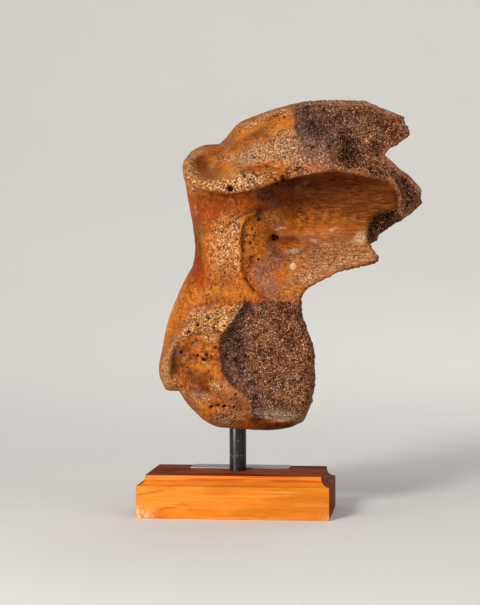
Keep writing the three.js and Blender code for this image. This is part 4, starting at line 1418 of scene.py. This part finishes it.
class StandSettings(bpy.types.PropertyGroup):
    cove_radius: length("Cove radius", "Radius of the cove along the base's top edges", 7.7 * MM)
    cove_quirk: length("Quirk", "Height of the small step above the cove", 2 * MM)
    edge_wear: length("Edge wear", "Rounding of the base's sharp edges", 0.7 * MM)
    honey: tint("Honey", "Light wood between the grain lines", "d67d21")
    amber: tint("Amber", "Darker wood of the grain lines", "bd6315")
    # Painted shade over the base's top face
    top_shade: tint("Top tint", "Tint over the base's top face", "98620c")
    paint: tint("Rod paint", "Black paint of the rod", "0f0e0e")
    # Painted shade: deeper grey than bare metal, for the unlit surroundings it reflects
    metal: tint("Plaque metal", "Brushed metal of the blank label plate", "747078")


class StageSettings(bpy.types.PropertyGroup):
    floor: tint("Floor", "Pale floor and backdrop", "e6e3de")
    key_power: power("Key light", "Power of the main light", 47.0)
    fill_power: power("Fill light", "Power of the weak lights", 7.0)


class FOSSIL_OT_bone(bpy.types.Operator):
    """Models the broken fossil bone and its porous faces"""

    bl_idname = "fossil.bone"
    bl_label = "Bone"

    def execute(self, context):
        settings = context.scene.fossil_bone
        mesh, finish = model_bone(settings), bone_material(settings)
        place_piece("humerus_bone", mesh, finish, "humerus")
        return {"FINISHED"}


class FOSSIL_OT_base(bpy.types.Operator):
    """Models the coved wooden base"""

    bl_idname = "fossil.base"
    bl_label = "Base"

    def execute(self, context):
        settings = context.scene.fossil_stand
        mesh, finish = model_base(settings), wood_material(settings)
        place_piece("base_plank", mesh, finish, "base", sharp_from=35)
        return {"FINISHED"}


class FOSSIL_OT_rod(bpy.types.Operator):
    """Models the black steel rod"""

    bl_idname = "fossil.rod"
    bl_label = "Rod"

    def execute(self, context):
        settings = context.scene.fossil_stand
        mesh, finish = model_rod(), rod_material(settings)
        place_piece("rod_bar", mesh, finish, "rod", sharp_from=50)
        return {"FINISHED"}


class FOSSIL_OT_plaque(bpy.types.Operator):
    """Models the blank label plate"""

    bl_idname = "fossil.plaque"
    bl_label = "Plaque"

    def execute(self, context):
        settings = context.scene.fossil_stand
        mesh, finish = model_plaque(), plaque_material(settings)
        place_piece("plaque_plate", mesh, finish, "plaque", sharp_from=40)
        return {"FINISHED"}


# The stage, in metres, watts, degrees of roll and millimetres of film and lens

FLOOR_FLAT = 1.6
FLOOR_BEND = 3.0
FLOOR_STEPS = 18
FLOOR_SIDES = 96
STRIP_POWER = 21.0
BACKDROP_POWER = 30.0
SKY = (0.93, 0.95, 1.0, 1.0)
SKY_STRENGTH = 0.36
CAMERA_AIM = (0.0023, 0, 0.1996)
CAMERA_ROLL = -0.117
CAMERA_FILM = 36
CAMERA_LENS = 105.36


def add_floor(settings):
    """A round pale floor whose rim curves up into a backdrop on all sides."""
    bm = bmesh.new()
    verts = [bm.verts.new((0, 0, 0)), bm.verts.new((FLOOR_FLAT, 0, 0))]
    for step in range(1, FLOOR_STEPS + 1):
        angle = math.radians(90) * step / FLOOR_STEPS
        across = FLOOR_FLAT + FLOOR_BEND * math.sin(angle)
        verts.append(bm.verts.new((across, 0, FLOOR_BEND * (1 - math.cos(angle)))))
    edges = [bm.edges.new(pair) for pair in zip(verts, verts[1:])]
    bmesh.ops.spin(
        bm, geom=verts + edges, cent=(0, 0, 0), axis=(0, 0, 1), angle=2 * math.pi,
        steps=FLOOR_SIDES, use_merge=True,
    )
    bmesh.ops.remove_doubles(bm, verts=bm.verts, dist=0.01 * MM)
    bmesh.ops.recalc_face_normals(bm, faces=bm.faces)
    bmesh.ops.reverse_faces(bm, faces=bm.faces)
    mesh = new_mesh(bm, "studio_floor")
    mesh.polygons.foreach_set("use_smooth", [True] * len(mesh.polygons))
    mesh.materials.append(floor_material(settings))
    new_object("studio_floor", mesh)


def add_light(name, place, aim, size, power, tone, height=None):
    """A soft light facing a place: a disc, or an upright strip if a height is given."""
    light = bpy.data.lights.new(name, "AREA")
    light.shape = "DISK" if height is None else "RECTANGLE"
    light.size = size
    if height is not None:
        light.size_y = height
    light.energy = power
    light.color = tone
    lamp = bpy.data.objects.new(name, light)
    lamp.location = place
    lamp.rotation_euler = (Vector(aim) - Vector(place)).to_track_quat("-Z", "Y").to_euler()
    lamp.visible_camera = False
    bpy.context.scene.collection.objects.link(lamp)


def add_camera():
    """The photograph's view, 480 by 605 pixels, as tall as the film."""
    camera = bpy.data.cameras.new("camera")
    camera.sensor_fit = "VERTICAL"
    camera.sensor_height = CAMERA_FILM
    camera.lens = CAMERA_LENS
    camera.clip_end = 20
    place = Vector(EYE * MM)
    roll = Quaternion((0, 0, 1), math.radians(CAMERA_ROLL))
    eye = bpy.data.objects.new("camera", camera)
    eye.location = place
    eye.rotation_euler = ((Vector(CAMERA_AIM) - place).to_track_quat("-Z", "Y") @ roll).to_euler()
    bpy.context.scene.collection.objects.link(eye)
    bpy.context.scene.camera = eye


class FOSSIL_OT_stage(bpy.types.Operator):
    """Adds the pale floor, the soft lights and the camera"""

    bl_idname = "fossil.stage"
    bl_label = "Stage"

    def execute(self, context):
        settings = context.scene.fossil_stage
        add_floor(settings)
        key, fill = settings.key_power, settings.fill_power
        white = (1.0, 1.0, 1.0)
        add_light("key", (-0.9, -2.1, 1.25), (0.03, 0, 0.2), 0.6, key, (1.0, 0.97, 0.93))
        add_light("fill", (1.9, -1.2, 0.9), (0.03, 0, 0.2), 1.4, fill, (0.97, 0.98, 1.0))
        add_light("back", (0.6, 1.9, 1.5), (0.03, 0, 0.25), 1.4, fill, white)
        add_light("strip", (-1.4, -1.48, 0.2), (0, 0, 0.1), 0.6, STRIP_POWER, white, 0.36)
        warm = (1.0, 0.99, 0.97)
        add_light("backdrop", (0, 1.4, 2.6), (0, 4.2, 1.2), 2.0, BACKDROP_POWER, warm)
        world = bpy.data.worlds.new("studio")
        world.use_nodes = True
        background = world.node_tree.nodes["Background"]
        background.inputs["Color"].default_value = SKY
        background.inputs["Strength"].default_value = SKY_STRENGTH
        context.scene.world = world
        context.scene.view_settings.view_transform = "Standard"
        add_camera()
        return {"FINISHED"}


class FOSSIL_PT_panel(bpy.types.Panel):
    bl_idname = "FOSSIL_PT_panel"
    bl_label = "Fossil on a stand"
    bl_space_type = "VIEW_3D"
    bl_region_type = "UI"
    bl_category = "Fossil"

    def draw(self, context):
        for group, operators in PANEL_GROUPS.items():
            box = self.layout.box()
            settings = getattr(context.scene, group)
            for name in type(settings).__annotations__:
                box.prop(settings, name)
            for operator in operators:
                box.operator(operator.bl_idname)


PANEL_GROUPS = {
    "fossil_bone": (FOSSIL_OT_bone,),
    "fossil_stand": (FOSSIL_OT_base, FOSSIL_OT_rod, FOSSIL_OT_plaque),
    "fossil_stage": (FOSSIL_OT_stage,),
}
SETTINGS = {
    "fossil_bone": BoneSettings, "fossil_stand": StandSettings, "fossil_stage": StageSettings,
}
CLASSES = (
    *SETTINGS.values(), FOSSIL_OT_bone, FOSSIL_OT_base, FOSSIL_OT_rod, FOSSIL_OT_plaque,
    FOSSIL_OT_stage, FOSSIL_PT_panel,
)


def register():
    for each in CLASSES:
        bpy.utils.register_class(each)
    for name, group in SETTINGS.items():
        setattr(bpy.types.Scene, name, PointerProperty(type=group))


def unregister():
    for name in SETTINGS:
        delattr(bpy.types.Scene, name)
    for each in reversed(CLASSES):
        bpy.utils.unregister_class(each)


def main():
    register()
    bpy.ops.fossil.base()
    bpy.ops.fossil.rod()
    bpy.ops.fossil.plaque()
    bpy.ops.fossil.bone()
    bpy.ops.fossil.stage()


if __name__ == "__main__":
    main()
